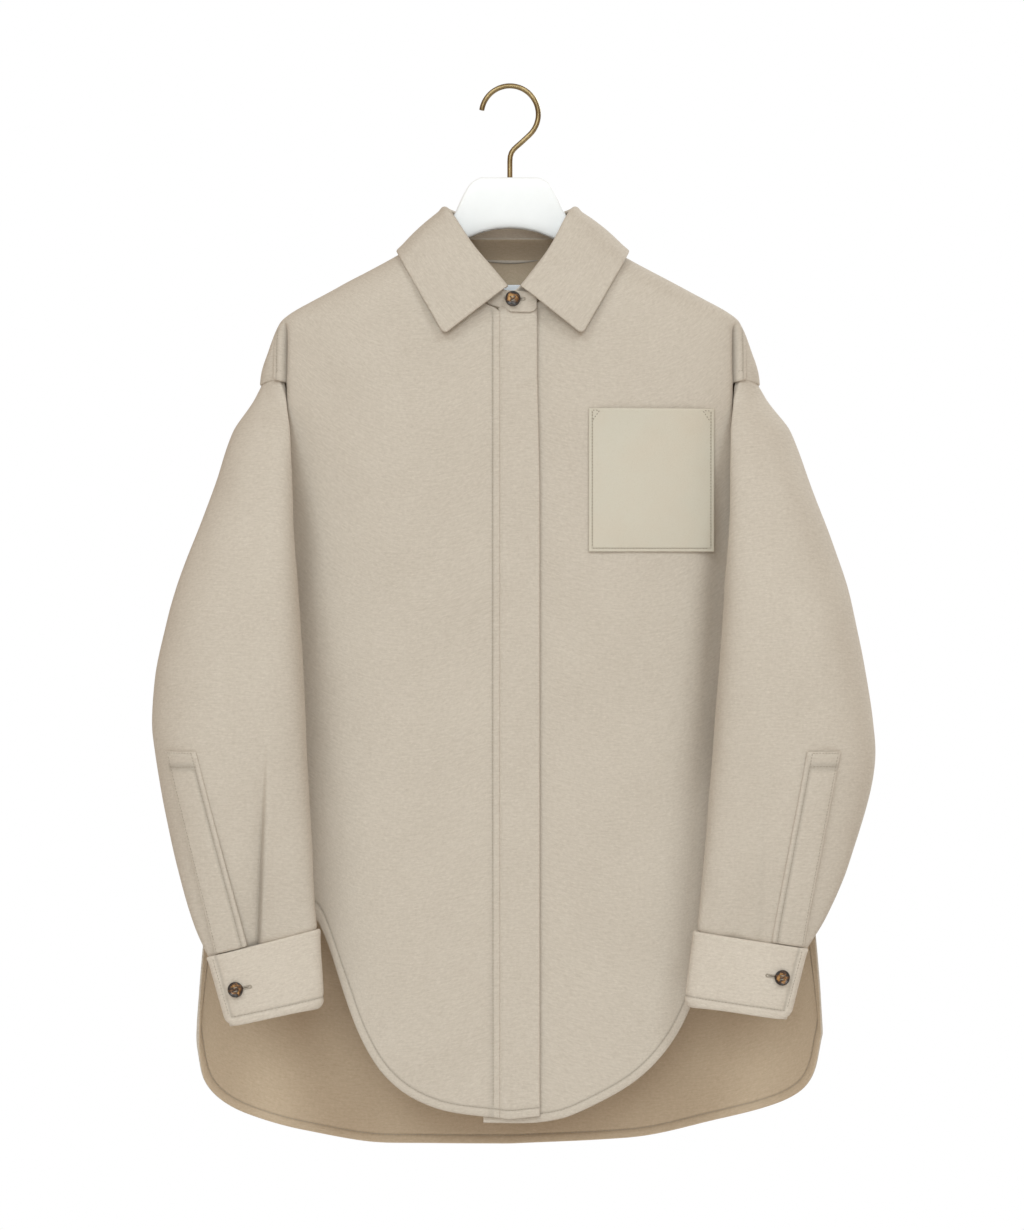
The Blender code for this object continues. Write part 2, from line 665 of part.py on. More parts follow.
sleeve_strip("l", "sleeve_placket_left", (318, 273), (289, 243))
sleeve_strip("r", "sleeve_placket_right", (305, 272), (274, 242))

# Cuffs: one strip wrapped round, its outer end over its inner end
CUFF = dict(l=((281, -817.5), (180.5, -792.0), (262, -883.0), (176, -864.0)),
            r=((276.5, -809.5), (174.8, -794.0), (259.4, -876.5), (165.3, -862.4)))
CUFF_Y = -82.0


def cuff_point(side, turn, down, tuck=0.0):
    outer, inner, low_out, low_in = (np.array(p, float) for p in CUFF[side])
    a, b = mix(outer, low_out, down), mix(inner, low_in, down)
    mid, half = (a + b) / 2, (a - b) / 2
    c, s = math.cos(math.radians(turn)), math.sin(math.radians(turn))
    half = half * (1 - tuck / 50)
    spot = mid + half * math.copysign(abs(c) ** 0.9, c)
    deep = math.copysign(abs(s) ** 0.7, s) * (12 - tuck)
    return np.array([spot[0], CUFF_Y - deep, spot[1]])


for side, name in (("l", "cuff_left"), ("r", "cuff_right")):
    turns = [14, 22, 32, 45, 60, 80, 100, 120, 138, 152, 165, 180, 195, 208, 222, 240, 260, 280, 300,
             318, 332, 345, 357, 368, 382, 400, 418]
    rows = []
    for r in range(6):
        line = []
        for k, turn in enumerate(turns):
            short = {0: 0.17, 1: 0.05}.get(k, 0.0)
            line.append(cuff_point(side, turn, r / 5 * (1 - short), 3.2 * ease((turn - 322) / 40)))
        rows.append(line)
    grid = np.array(rows)
    n = -normals(grid)
    if side == "l":
        grid, n = flip(grid), flip(n)
    wall(name, grid, CLOTH, wool_light, norm=n)

# Buttons: one on the collar stand, one on each cuff
seat = mix(stand[1][4], stand[2][4], 0.8)
facing = unit(np.cross(stand[2][4] - stand[1][4], [1.0, 0, 0]))
facing = facing if facing[1] < 0 else -facing
button("button_neck", seat + facing * (CLOTH / 2 + 0.6), facing, horn)
for side, sign, x, z in (("l", -1, 253.7, -847.0), ("r", 1, 251.8, -836.0)):
    button("button_cuff_" + ("left" if side == "l" else "right"),
           (sign * x, CUFF_Y - 12.0 - CLOTH / 2 + 1.1, z), (sign * 0.13, -1, 0), horn)

# Hanger body lofted from one end to the other, with a bore for the hook
xs = sorted([-x for x in (14, 26, 32, 37, 42, 50, 57, 64, 73, 90, 120, 160, 196, 205, 208)]) + [0]
xs += [-x for x in reversed(xs[:-1])]
bm = bmesh.new()
loops = []
for x in xs:
    a = abs(x)
    top, base, thick = (read(HANGER, n, a, "x") for n in ("top", "base", "thick"))
    mid, tall = (top + base) / 2, (top - base) / 2
    ring = []
    for k in range(12):
        t = (k + 0.5) / 12 * math.tau
        c, s = math.cos(t), math.sin(t)
        ring.append(bm.verts.new(Vector((x, thick * math.copysign(abs(c) ** 0.5, c),
                                         mid + tall * math.copysign(abs(s) ** 0.5, s))) * MM))
    loops.append(ring)
for one, two in zip(loops, loops[1:]):
    for k in range(12):
        bm.faces.new([one[k], one[(k + 1) % 12], two[(k + 1) % 12], two[k]])
bm.faces.new(loops[0])
bm.faces.new(list(reversed(loops[-1])))
hanger = place("hanger", bm, lacquer)

bm = bmesh.new()
bmesh.ops.create_cone(bm, cap_ends=True, segments=16, radius1=(HOOK_WIRE + SEAM + 0.15) * MM,
                      radius2=(HOOK_WIRE + SEAM + 0.15) * MM, depth=20 * MM,
                      matrix=Matrix.Translation((0, 0, -90 * MM)))
bore = place("hanger_bore", bm, lacquer)
bore.hide_render = True
bore.display_type = "WIRE"
cut = hanger.modifiers.new("bore", "BOOLEAN")
cut.operation, cut.solver, cut.object = "DIFFERENCE", "EXACT", bore

# Hook: straight stem, a lean to the side, then the arc over the top
centre = Vector((0, 0, -(HOOK_R - HOOK_WIRE)))
spine = [Vector((0, 0, z)) for z in (-98, -84, -70)] + [Vector((0.25, 0, -65)), Vector((1.6, 0, -60.4))]
spine += [Vector((6.5, 0, -55.4)), Vector((12.5, 0, -49.8))]
spine += [centre + Vector((math.cos(a), 0, math.sin(a))) * HOOK_R
          for a in [math.radians(-46 + 218 * k / 18) for k in range(19)]]
bm = bmesh.new()
loops = []
for i, p in enumerate(spine):
    lean = (spine[min(i + 1, len(spine) - 1)] - spine[max(i - 1, 0)]).normalized()
    side = Vector((lean.z, 0, -lean.x))
    loops.append([bm.verts.new((p + (side * math.cos(a) + Vector((0, 1, 0)) * math.sin(a)) * HOOK_WIRE) * MM)
                  for a in [k / 10 * math.tau for k in range(10)]])
for one, two in zip(loops, loops[1:]):
    for k in range(10):
        bm.faces.new([one[k], one[(k + 1) % 10], two[(k + 1) % 10], two[k]])
bm.faces.new(loops[0])
bm.faces.new(list(reversed(loops[-1])))
place("hook", bm, brass)
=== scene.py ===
"""Felted wool shirt jacket with a leather patch pocket, buttoned at the neck, on a contoured hanger."""

import logging
import math
from dataclasses import dataclass, field
from enum import Enum

import bmesh
import bpy
import numpy as np
from mathutils import Matrix, Vector, noise
from mathutils.bvhtree import BVHTree


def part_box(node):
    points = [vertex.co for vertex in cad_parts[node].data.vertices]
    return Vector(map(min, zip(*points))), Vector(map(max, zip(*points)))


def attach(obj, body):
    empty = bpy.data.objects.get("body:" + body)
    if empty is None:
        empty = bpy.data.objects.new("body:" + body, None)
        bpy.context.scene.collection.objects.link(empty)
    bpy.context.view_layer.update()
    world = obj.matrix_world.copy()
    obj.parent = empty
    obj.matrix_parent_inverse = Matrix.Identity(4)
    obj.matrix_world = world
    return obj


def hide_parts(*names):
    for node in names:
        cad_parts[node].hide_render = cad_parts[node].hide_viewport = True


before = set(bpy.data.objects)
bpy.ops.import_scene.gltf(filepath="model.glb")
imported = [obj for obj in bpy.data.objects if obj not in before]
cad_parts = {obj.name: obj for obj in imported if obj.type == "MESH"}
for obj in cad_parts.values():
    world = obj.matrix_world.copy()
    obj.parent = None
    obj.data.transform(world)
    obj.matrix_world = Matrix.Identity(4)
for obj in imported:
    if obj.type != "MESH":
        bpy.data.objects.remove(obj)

log = logging.getLogger("shirt_jacket")

MM = 0.001
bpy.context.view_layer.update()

# Cloth and seams, millimetres
CLOTH = 2.0
PLY_MAX = 5.0           # thickness where a full weight is painted
HEM_BAND = 8.3          # from a turned edge to its line of stitches
WELT_BAND = 7.0         # from the placket's seam to its line of stitches
NECK_TOP_Z = -141.0
NECK_FRONT_Z = -213.0
NECK_BACK_Z = -165.0
NECK_HALF = 70.0
TIP_Z = -222.0          # end of the hanger under the shoulder
CROWN_Z = -277.0        # dropped shoulder ends, sleeve begins
ARMHOLE_TOP_Z = -283.0  # armhole opens below the felled edge
CREASE_X = 213.2        # fold below the end of the hanger
SEAM_X = 219.7          # stitched seam of the dropped shoulder
UNDERARM_Z = -500.0
SPREAD_Z = -600.0       # rows lean into the hem below this
VENT_Z = -752.0         # side seams open below this
SLEEVE_LOW = -626.0     # sleeve's rows lean to follow the cuff below this
CUFF_TOP_Z = -800.0     # last level section of the sleeve
PLACKET_SEAM = 9.2      # left of the centre line
UNDER_EDGE = -25.0
UNDER_SLIP = 4.0
CUFF_Y = -82.0
CUFF_UNDER = 320        # degrees round the cuff where its under layer begins
STITCH_GAP = 3.0
AHEAD = (0.0, -1.0, 0.0)
BEHIND = (0.0, 1.0, 0.0)

Array = np.ndarray
Socket = bpy.types.NodeSocket
Pair = tuple[float, float]
Triple = tuple[float, float, float]
Colour = Triple


class Side(Enum):
    """Which half of the garment, as the viewer sees it."""

    LEFT = "left"
    RIGHT = "right"

    @property
    def sign(self) -> int:
        """Direction of the half along X."""
        return -1 if self is Side.LEFT else 1


class FoldShape(Enum):
    """Section of a fold across its line."""

    ROUND = "round"
    PLEAT = "pleat"


def ease(t: Array | float) -> Array:
    """Smooth rise from 0 to 1."""
    t = np.clip(t, 0.0, 1.0)
    return t * t * (3 - 2 * t)


def mix(a: Array | float, b: Array | float, t: Array | float) -> Array:
    """Value the share t of the way from a to b."""
    return a + (b - a) * t


def steps(start: float, stop: float, pitch: float) -> Array:
    """Even values with both ends, no further apart than the pitch."""
    return np.linspace(start, stop, max(math.ceil(abs(stop - start) / pitch), 1) + 1)


def unit(n: Array) -> Array:
    """Vectors along the last axis at length 1."""
    return n / np.maximum(np.linalg.norm(n, axis=-1, keepdims=True), 1e-9)


def travelled(points: Array) -> Array:
    """Distance run along a line up to each of its points."""
    return np.concatenate([[0], np.cumsum(np.linalg.norm(np.diff(points, axis=0), axis=1))])


@dataclass(frozen=True)
class Table:
    """Named columns of sizes, read smoothly along one of them."""

    key: str
    columns: dict[str, tuple[float, ...]]

    def read(self, name: str, at: Array | float) -> Array:
        """Reads a column with a curve that never overshoots its rows.

        Args:
            name: the column wanted.
            at: places along the key column.

        Returns:
            The column's values there.
        """
        xs = np.array(self.columns[self.key], float)
        ys = np.array(self.columns[name], float)
        if xs[0] > xs[-1]:
            xs, ys = xs[::-1], ys[::-1]
        at = np.clip(np.asarray(at, float), xs[0], xs[-1])
        gap = np.diff(xs)
        rise = np.diff(ys) / gap
        both = rise[:-1] * rise[1:]
        inner = np.where(both > 0, 2 * both / np.where(both > 0, rise[:-1] + rise[1:], 1.0), 0.0)
        lean = np.concatenate([rise[:1], inner, rise[-1:]])
        i = np.clip(np.searchsorted(xs, at) - 1, 0, len(gap) - 1)
        t = (at - xs[i]) / gap[i]
        return ((2 * t**3 - 3 * t**2 + 1) * ys[i] + (t**3 - 2 * t**2 + t) * gap[i] * lean[i]
                + (3 * t**2 - 2 * t**3) * ys[i + 1] + (t**3 - t**2) * gap[i] * lean[i + 1])


@dataclass(frozen=True)
class Fold:
    """A crease drawn on a panel by its path across and down, in millimetres."""

    path: tuple[Pair, ...]
    rise: float
    wide: float
    shape: FoldShape = FoldShape.ROUND
    fade: float = 60.0

    def lift(self, x: Array, z: Array) -> Array:
        """Height that the fold adds to the cloth.

        Args:
            x: places across the panel.
            z: heights on the panel.

        Returns:
            Millimetres outwards at each place.
        """
        nearest = np.full(np.shape(x), 1e9)
        side = np.zeros(np.shape(x))
        along = np.zeros(np.shape(x))
        run = 0.0
        for (x0, z0), (x1, z1) in zip(self.path, self.path[1:]):
            length = math.hypot(x1 - x0, z1 - z0)
            tx, tz = (x1 - x0) / length, (z1 - z0) / length
            s = np.clip((x - x0) * tx + (z - z0) * tz, 0, length)
            gap = np.hypot(x - x0 - tx * s, z - z0 - tz * s)
            closer = gap < nearest
            nearest = np.where(closer, gap, nearest)
            side = np.where(closer, (x - x0) * -tz + (z - z0) * tx, side)
            along = np.where(closer, run + s, along)
            run += length
        ends = ease((along + 1) / self.fade) * ease((run - along + 1) / self.fade)
        if self.shape is FoldShape.ROUND:
            return self.rise * np.exp(-((nearest / self.wide) ** 2)) * ends
        fall = np.where(side > 0, np.exp(-nearest / self.wide), -np.exp(-nearest / (self.wide * 0.7)))
        return self.rise * fall * ease(np.abs(side) / 1.6) * ends


@dataclass(frozen=True)
class BodyForm:
    """Level sections of the body cloth, from the neck to the tail."""

    sections: Table = Table("z", dict(
        z=(-138, -160, -190, -219, -222.5, -245, -277, -330, -400, -500, -620, -752, -900, -1020),
        half=(73, 107, 163, 213.5, 217, 227, 237, 240, 245, 253, 270, 287, 297, 298),
        front=(25, 33, 39, 41.8, 42, 43, 43, 43, 43, 44, 46, 49, 51, 52),
        back=(22, 28, 32, 33.8, 34, 35, 36, 37, 38, 40, 42, 45, 47, 48),
        side=(0, 0, 0, 0, 0, 2, 5, 9, 12, 14, 16, 18, 18, 18)))
    armhole: Table = Table("z", dict(
        z=(-283, -310, -350, -400, -440, -475, -492, -500),
        front=(213, 213, 213, 214, 219, 230, 243, 253),
        back=(229, 230, 232, 235, 239, 245, 250, 253)))

    def share(self, x: Array, z: Array, back: bool = False) -> Array:
        """Way round the body, from the centre front (0) by the side (1) to the centre back (2)."""
        f = np.arcsin(np.clip(np.abs(x) / self.sections.read("half", z), 0, 1)) * 2 / math.pi
        return 2 - f if back else f

    def place(self, f: Array, z: Array) -> Array:
        """Points of the cloth's middle surface.

        Args:
            f: way round the body.
            z: heights.

        Returns:
            The points, millimetres along the last axis.
        """
        f, z = np.broadcast_arrays(np.asarray(f, float), np.asarray(z, float))
        half, side = self.sections.read("half", z), self.sections.read("side", z)
        turn = f * math.pi / 2
        swell = np.maximum(1 - np.abs(np.sin(turn)) ** 3.4, 0) ** 0.57
        ahead = side - (self.sections.read("front", z) + side) * swell
        behind = side + (self.sections.read("back", z) - side) * swell
        return np.stack([half * np.sin(turn), np.where(np.abs(f) <= 1, ahead, behind), z], -1)

    def shoulder(self, z: Array) -> Array:
        """Way round to the shoulder seam, which comes forward below the end of the hanger."""
        low = mix(1.0, self.share(np.full(np.shape(z), 223.0), z), ease((TIP_Z - z) / 16))
        return np.where(z > TIP_Z, 1.0, low)

    def neck(self, z: float, back: bool = False) -> float:
        """Distance from the centre line to the neckline.

        Args:
            z: height.
            back: whether the back's neckline is meant, which is higher.
        """
        low = NECK_BACK_Z if back else NECK_FRONT_Z
        if z <= low:
            return 0.0
        t = (z - low) / (NECK_TOP_Z - low)
        return (NECK_HALF - 2) * math.sqrt(max(1 - (1 - t) ** 2, 0.0)) ** 1.1

    def front_y(self, x: Array, z: Array) -> Array:
        """Depth of the front cloth at a place."""
        return self.place(self.share(x, z), z)[..., 1]


BODY = BodyForm()


def crown_dip(x: Array) -> Array:
    """How far the lower edge of the dropped shoulder hangs below its level, in an arch."""
    arch = 1.2 + np.where(x > 223, 4.8 * ((x - 223) / 15) ** 2, 2.4 * ((223 - x) / 10) ** 2)
    return np.where(x > 213, arch, 3.6 * ease(x / 200))


def crease_depth(z: Array | float) -> Array:
    """Depth of the crease below the end of the hanger, between shoulder and body."""
    return 6.5 * ease((TIP_Z + 1 - z) / 10) * ease((z + 345) / 60)


class Graph:
    """Places and joins the nodes of one material or node group."""

    def __init__(self, tree: bpy.types.NodeTree) -> None:
        """Keeps the tree that is filled."""
        self.tree = tree

    def join(self, socket: Socket, value: object) -> None:
        """Fills an input of a node.

        Args:
            socket: the input.
            value: an output to link to it, or its plain value.
        """
        if isinstance(value, Socket):
            self.tree.links.new(value, socket)
        else:
            socket.default_value = value

    def node(self, kind: str, settings: dict | None = None, **inputs: object) -> bpy.types.Node:
        """Adds a node.

        Args:
            kind: the node's type name.
            settings: properties of the node itself.
            inputs: a value or an output socket for each input, by its name or its number after an s.

        Returns:
            The node.
        """
        made = self.tree.nodes.new(kind)
        for key, value in (settings or {}).items():
            setattr(made, key, value)
        for key, value in inputs.items():
            numbered = key[0] == "s" and key[1:].isdigit()
            self.join(made.inputs[int(key[1:]) if numbered else key.replace("_", " ")], value)
        return made

    def feed(self, shader: bpy.types.Node, **inputs: object) -> None:
        """Sets the shader's inputs by name, or links what changes over the surface to them."""
        for key, value in inputs.items():
            self.join(shader.inputs[key.replace("_", " ")], value)

    def ramp(self, value: Socket, stops: tuple[tuple[float, Colour], ...]) -> Socket:
        """Colour ramp through the stops.

        Args:
            value: where it is read.
            stops: a place and a colour each.

        Returns:
            The colour.
        """
        made = self.node("ShaderNodeValToRGB", Fac=value)
        elements = made.color_ramp.elements
        while len(elements) < len(stops):
            elements.new(0.5)
        for element, (at, colour) in zip(elements, stops):
            element.position, element.color = at, (*colour, 1)
        return made.outputs["Color"]

    def blend(self, share: object, a: object, b: object) -> Socket:
        """Two colours mixed by a share."""
        return self.node("ShaderNodeMix", {"data_type": "RGBA"}, s0=share, s6=a, s7=b).outputs[2]

    def sums(self, how: str, a: object, b: object) -> Socket:
        """One sum of two values."""
        return self.node("ShaderNodeMath", {"operation": how}, s0=a, s1=b).outputs[0]

    def weighted(self, *parts: tuple[object, float]) -> Socket:
        """Values added up, each times its weight."""
        total: object = 0.0
        for value, weight in parts:
            total = self.node("ShaderNodeMath", {"operation": "MULTIPLY_ADD"}, s0=value, s1=weight,
                              s2=total).outputs[0]
        return total

    def span(self, value: Socket, low: float, high: float, to_low: float = 0.0,
             to_high: float = 1.0) -> Socket:
        """Value carried from one range to another and kept inside it."""
        return self.node("ShaderNodeMapRange", Value=value, From_Min=low, From_Max=high,
                         To_Min=to_low, To_Max=to_high).outputs[0]

    def grain(self, vector: Socket, scale: float, detail: float = 3.0, rough: float = 0.55) -> Socket:
        """Noise value at a scale in features a metre."""
        return self.node("ShaderNodeTexNoise", Vector=vector, Scale=scale, Detail=detail,
                         Roughness=rough).outputs[0]

    def wave(self, vector: Socket, bands: str, scale: float, distortion: float) -> Socket:
        """Value of even bands along one direction."""
        return self.node("ShaderNodeTexWave", {"bands_direction": bands}, Vector=vector, Scale=scale,
                         Distortion=distortion).outputs[1]

    def stretch(self, vector: Socket, scale: Triple, turn: float = 0.0) -> Socket:
        """Vector scaled and turned about its third axis."""
        return self.node("ShaderNodeMapping", Vector=vector, Scale=scale, Rotation=(0, 0, turn)).outputs[0]

    def mark(self, name: str) -> Socket:
        """Value that the piece carries at each point."""
        return self.node("ShaderNodeAttribute", {"attribute_name": name}).outputs["Fac"]

    def pressed_and_shaded(self, base: Socket, share: float, dark: Colour) -> Socket:
        """Colour darkened where thread presses the piece, and painted shade where the piece marks creases, seams
        and gaps.
        """
        return self.blend(self.weighted((self.mark("pressed_and_shaded"), share)), base, (*dark, 1))

    def bump(self, shader: bpy.types.Node, height: Socket, strength: float, depth: float) -> None:
        """Feeds a height in metres times depth to the shader's normal."""
        self.feed(shader, Normal=self.node("ShaderNodeBump", Height=height, Strength=strength,
                Distance=depth).outputs[0])


class SharedEffects:
    """Node groups that several finishes place with their own values."""

    _made: dict[str, bpy.types.NodeTree] = {}

    @classmethod
    def _group(cls, name: str, value: tuple[str, float],
               outputs: tuple[str, ...]) -> tuple[Graph, bpy.types.NodeOutputs]:
        """Starts a group that reads a vector and one value.

        Args:
            name: the group's name.
            value: the name and first value of its second input.
            outputs: names of the float outputs.

        Returns:
            The group's graph and the sockets of its input node.
        """
        tree = cls._made[name] = bpy.data.node_groups.new(name, "ShaderNodeTree")
        tree.interface.new_socket(name="Vector", in_out="INPUT", socket_type="NodeSocketVector")
        tree.interface.new_socket(name=value[0], in_out="INPUT",
                                  socket_type="NodeSocketFloat").default_value = value[1]
        for key in outputs:
            tree.interface.new_socket(name=key, in_out="OUTPUT", socket_type="NodeSocketFloat")
        return Graph(tree), tree.nodes.new("NodeGroupInput").outputs

    @classmethod
    def nap(cls) -> bpy.types.NodeTree:
        """Felted wool: cloudy tone, short level slubs and fine fibres, with their height."""
        if "wool_nap" not in cls._made:
            g, start = cls._group("wool_nap", ("Slub", 1.0), ("Tone", "Fleck", "Height"))
            vector = start["Vector"]
            cloud = g.grain(vector, 14.0, 3.0)
            felt = g.grain(vector, 330.0, 4.0, 0.6)
            streak = g.grain(g.stretch(vector, (95, 620, 1), 0.02), 1.0, 3.0, 0.6)
            fine = g.grain(g.stretch(vector, (260, 1500, 1), -0.03), 1.0, 2.0, 0.6)
            fibre = g.grain(vector, 1500.0, 2.0, 0.7)
            lines = g.sums("MULTIPLY", g.weighted((streak, 0.6), (fine, 0.4)), start["Slub"])
            g.node("NodeGroupOutput", Tone=g.weighted((cloud, 0.10), (fibre, 0.17), (felt, 0.28),
                    (lines, 0.45)),
                   Fleck=g.span(g.weighted((fibre, 0.55), (fine, 0.45)), 0.56, 0.70),
                   Height=g.weighted((felt, 0.35), (fibre, 0.3), (lines, 0.35)))
        return cls._made["wool_nap"]

    @classmethod
    def handling(cls) -> bpy.types.NodeTree:
        """Marks of use: faint smudges and fine scratches as masks."""
        if "handling" not in cls._made:
            g, start = cls._group("handling", ("Size", 60.0), ("Smudge", "Scratch"))
            long = g.grain(g.stretch(start["Vector"], (2600, 180, 420), 0.5), 1.0, 2.0, 0.5)
            smudge = g.node("ShaderNodeTexNoise", Vector=start["Vector"], Scale=start["Size"], Detail=5.0,
                            Roughness=0.6)
            g.node("NodeGroupOutput", Smudge=smudge.outputs[0], Scratch=g.span(long, 0.66, 0.74))
        return cls._made["handling"]


@dataclass(frozen=True)
class Finish:
    """A surface: each kind paints it on its own shader."""

    name: str

    def material(self) -> bpy.types.Material:
        """Builds the material."""
        made = bpy.data.materials.new(self.name)
        made.use_nodes = True
        g = Graph(made.node_tree)
        self.paint(g, made.node_tree.nodes["Principled BSDF"], g.node("ShaderNodeTexCoord").outputs)
        return made

    def paint(self, g: Graph, shader: bpy.types.Node, at: bpy.types.NodeOutputs) -> None:
        """Places the finish's own nodes.

        Args:
            g: the material's graph.
            shader: its Principled shader.
            at: its texture coordinates.
        """
        raise NotImplementedError

    @staticmethod
    def handled(g: Graph, vector: Socket, size: float) -> tuple[Socket, Socket]:
        """Smudges and scratches at a scale in features a metre."""
        marks = g.node("ShaderNodeGroup", {"node_tree": SharedEffects.handling()}, Vector=vector, Size=size)
        return marks.outputs["Smudge"], marks.outputs["Scratch"]


@dataclass(frozen=True)
class Wool(Finish):
    """Felted wool with a soft nap, level slubs and pale fibre ends."""

    deep: Colour = (0.440, 0.375, 0.305)
    pale: Colour = (0.635, 0.565, 0.480)
    slub: float = 1.0
    sheen: float = 0.12

    def paint(self, g: Graph, shader: bpy.types.Node, at: bpy.types.NodeOutputs) -> None:
        """Lays the nap on the piece's own cloth map."""
        nap = g.node("ShaderNodeGroup", {"node_tree": SharedEffects.nap()}, Vector=at["UV"],
                     Slub=self.slub).outputs
        base = g.blend(g.span(nap["Tone"], 0.32, 0.69), (*self.deep, 1), (*self.pale, 1))
        light = tuple(min(c * 1.16, 1.0) for c in self.pale)
        base = g.blend(g.weighted((nap["Fleck"], 0.45)), base, (*light, 1))
        # Painted shade in creases and seams, and pressing along stitch lines, darken the wool.
        base = g.pressed_and_shaded(base, 0.38, tuple(c * 0.5 for c in self.deep))
        g.feed(shader, Base_Color=base, Roughness=g.span(nap["Tone"], 0.3, 0.7, 0.98, 0.88),
               Sheen_Weight=self.sheen,
               Sheen_Roughness=0.5, Sheen_Tint=(0.95, 0.90, 0.82, 1), Specular_IOR_Level=0.2)
        g.bump(shader, nap["Height"], 0.42, 0.0008)


@dataclass(frozen=True)
class Hide(Finish):
    """Smooth calf leather with a fine pebbled grain."""

    def paint(self, g: Graph, shader: bpy.types.Node, at: bpy.types.NodeOutputs) -> None:
        """Lays the grain on the piece's own map."""
        cell = g.node("ShaderNodeTexVoronoi", {"feature": "DISTANCE_TO_EDGE"}, Vector=at["UV"], Scale=850.0)
        pebble = g.span(cell.outputs["Distance"], 0.0, 0.16)
        smudge, _ = self.handled(g, at["UV"], 14.0)
        base = g.ramp(smudge, ((0.32, (0.592, 0.520, 0.420)), (0.66, (0.592, 0.545, 0.450))))
        base = g.blend(g.weighted((g.sums("SUBTRACT", 1.0, pebble), 0.30)), base, (0.47, 0.41, 0.31, 1))
        # Darker along the stitch line: pressed leather, and painted shade of its groove.
        base = g.pressed_and_shaded(base, 0.40, (0.25, 0.20, 0.14))
        g.feed(shader, Base_Color=base, Roughness=g.span(smudge, 0, 1, 0.52, 0.66), Specular_IOR_Level=0.35)
        g.bump(shader, g.weighted((pebble, 1.0), (g.grain(at["UV"], 1900.0), 0.4)), 0.35, 0.00018)


@dataclass(frozen=True)
class Horn(Finish):
    """Polished horn, amber clouded with near black."""

    def paint(self, g: Graph, shader: bpy.types.Node, at: bpy.types.NodeOutputs) -> None:
        """Clouds the horn on Object coordinates, darker to the rim."""
        swirl = g.node("ShaderNodeTexNoise", Vector=at["Object"], Scale=120.0).outputs["Color"]
        swirl = g.node("ShaderNodeVectorMath", {"operation": "SCALE"}, s0=swirl, Scale=0.006).outputs[0]
        warped = g.node("ShaderNodeVectorMath", {"operation": "ADD"}, s0=at["Object"], s1=swirl).outputs[0]
        cloud = g.grain(warped, 210.0, 4.0, 0.6)
        rim = g.span(g.mark("rim"), 0.55, 0.95, 0.07, -0.13)
        base = g.ramp(g.sums("ADD", cloud, rim),
                      ((0.40, (0.012, 0.007, 0.004)), (0.50, (0.055, 0.022, 0.008)),
                                                  (0.57, (0.26, 0.115, 0.030)), (0.68, (0.52, 0.29, 0.10))))
        g.feed(shader, Base_Color=base, Roughness=g.span(g.grain(at["Object"], 160.0, 2.0), 0, 1, 0.30, 0.45),
               Coat_Weight=0.2, Coat_Roughness=0.12)
        g.bump(shader, cloud, 0.1, 0.0002)


@dataclass(frozen=True)
class Lacquer(Finish):
    """White satin lacquer with a faint brushed skin."""

    def paint(self, g: Graph, shader: bpy.types.Node, at: bpy.types.NodeOutputs) -> None:
        """Lays the lacquer on Object coordinates."""
        smudge, scratch = self.handled(g, at["Object"], 34.0)
        base = g.ramp(smudge, ((0.25, (0.875, 0.878, 0.872)), (0.75, (0.915, 0.918, 0.914))))
        g.feed(shader, Base_Color=base, Roughness=g.span(smudge, 0, 1, 0.36, 0.52))
        g.bump(shader, g.weighted((g.grain(at["Object"], 420.0, 2.0), 1.0), (scratch, -0.3)), 0.10, 0.0002)


@dataclass(frozen=True)
class Brass(Finish):
    """Drawn brass wire gone dull brown in the hollows of its patina."""

    def paint(self, g: Graph, shader: bpy.types.Node, at: bpy.types.NodeOutputs) -> None:
        """Lays the patina on Object coordinates."""
        smudge, scratch = self.handled(g, at["Object"], 55.0)
        base = g.ramp(smudge, ((0.30, (0.19, 0.13, 0.062)), (0.52, (0.29, 0.21, 0.105)),
                               (0.74, (0.40, 0.30, 0.155))))
        g.feed(shader, Base_Color=base, Metallic=1.0, Roughness=g.span(smudge, 0, 1, 0.42, 0.30))
        g.bump(shader, g.weighted((smudge, 0.6), (scratch, -0.5)), 0.08, 0.0002)


@dataclass(frozen=True)
class Ribbon(Finish):
    """Bare satin label, woven close."""

    def paint(self, g: Graph, shader: bpy.types.Node, at: bpy.types.NodeOutputs) -> None:
        """Weaves the satin on the piece's own map."""
        weave = g.sums("MULTIPLY", g.wave(at["UV"], "X", 900.0, 1.5), g.wave(at["UV"], "Y", 700.0, 1.5))
        base = g.blend(weave, (0.84, 0.85, 0.87, 1), (0.95, 0.955, 0.97, 1))
        g.feed(shader, Base_Color=base, Roughness=g.span(weave, 0, 1, 0.75, 0.55))
        g.bump(shader, weave, 0.3, 0.0002)


@dataclass(frozen=True)
class Thread(Finish):
    """Twisted sewing thread."""

    colour: Colour = (0.42, 0.355, 0.275)

    def paint(self, g: Graph, shader: bpy.types.Node, at: bpy.types.NodeOutputs) -> None:
        """Twists the thread on Object coordinates."""
        twist = g.wave(at["Object"], "DIAGONAL", 1100.0, 2.0)
        tone = g.grain(at["Object"], 240.0, 2.0)
        dark = tuple(c * 0.72 for c in self.colour)
        base = g.blend(g.weighted((twist, 0.5), (tone, 0.5)), (*dark, 1), (*self.colour, 1))
        g.feed(shader, Base_Color=base, Roughness=g.span(tone, 0, 1, 0.6, 0.8), Sheen_Weight=0.2)
        g.bump(shader, twist, 0.4, 0.0002)


@dataclass(frozen=True)
class PaleFloor(Finish):
    """Matt pale floor with a faint unevenness."""

    def paint(self, g: Graph, shader: bpy.types.Node, at: bpy.types.NodeOutputs) -> None:
        """Clouds the floor on Object coordinates."""
        base = g.ramp(g.grain(at["Object"], 3.0, 4.0),
                      ((0.3, (0.80, 0.80, 0.795)), (0.7, (0.84, 0.84, 0.835))))
        g.feed(shader, Base_Color=base, Roughness=0.9)


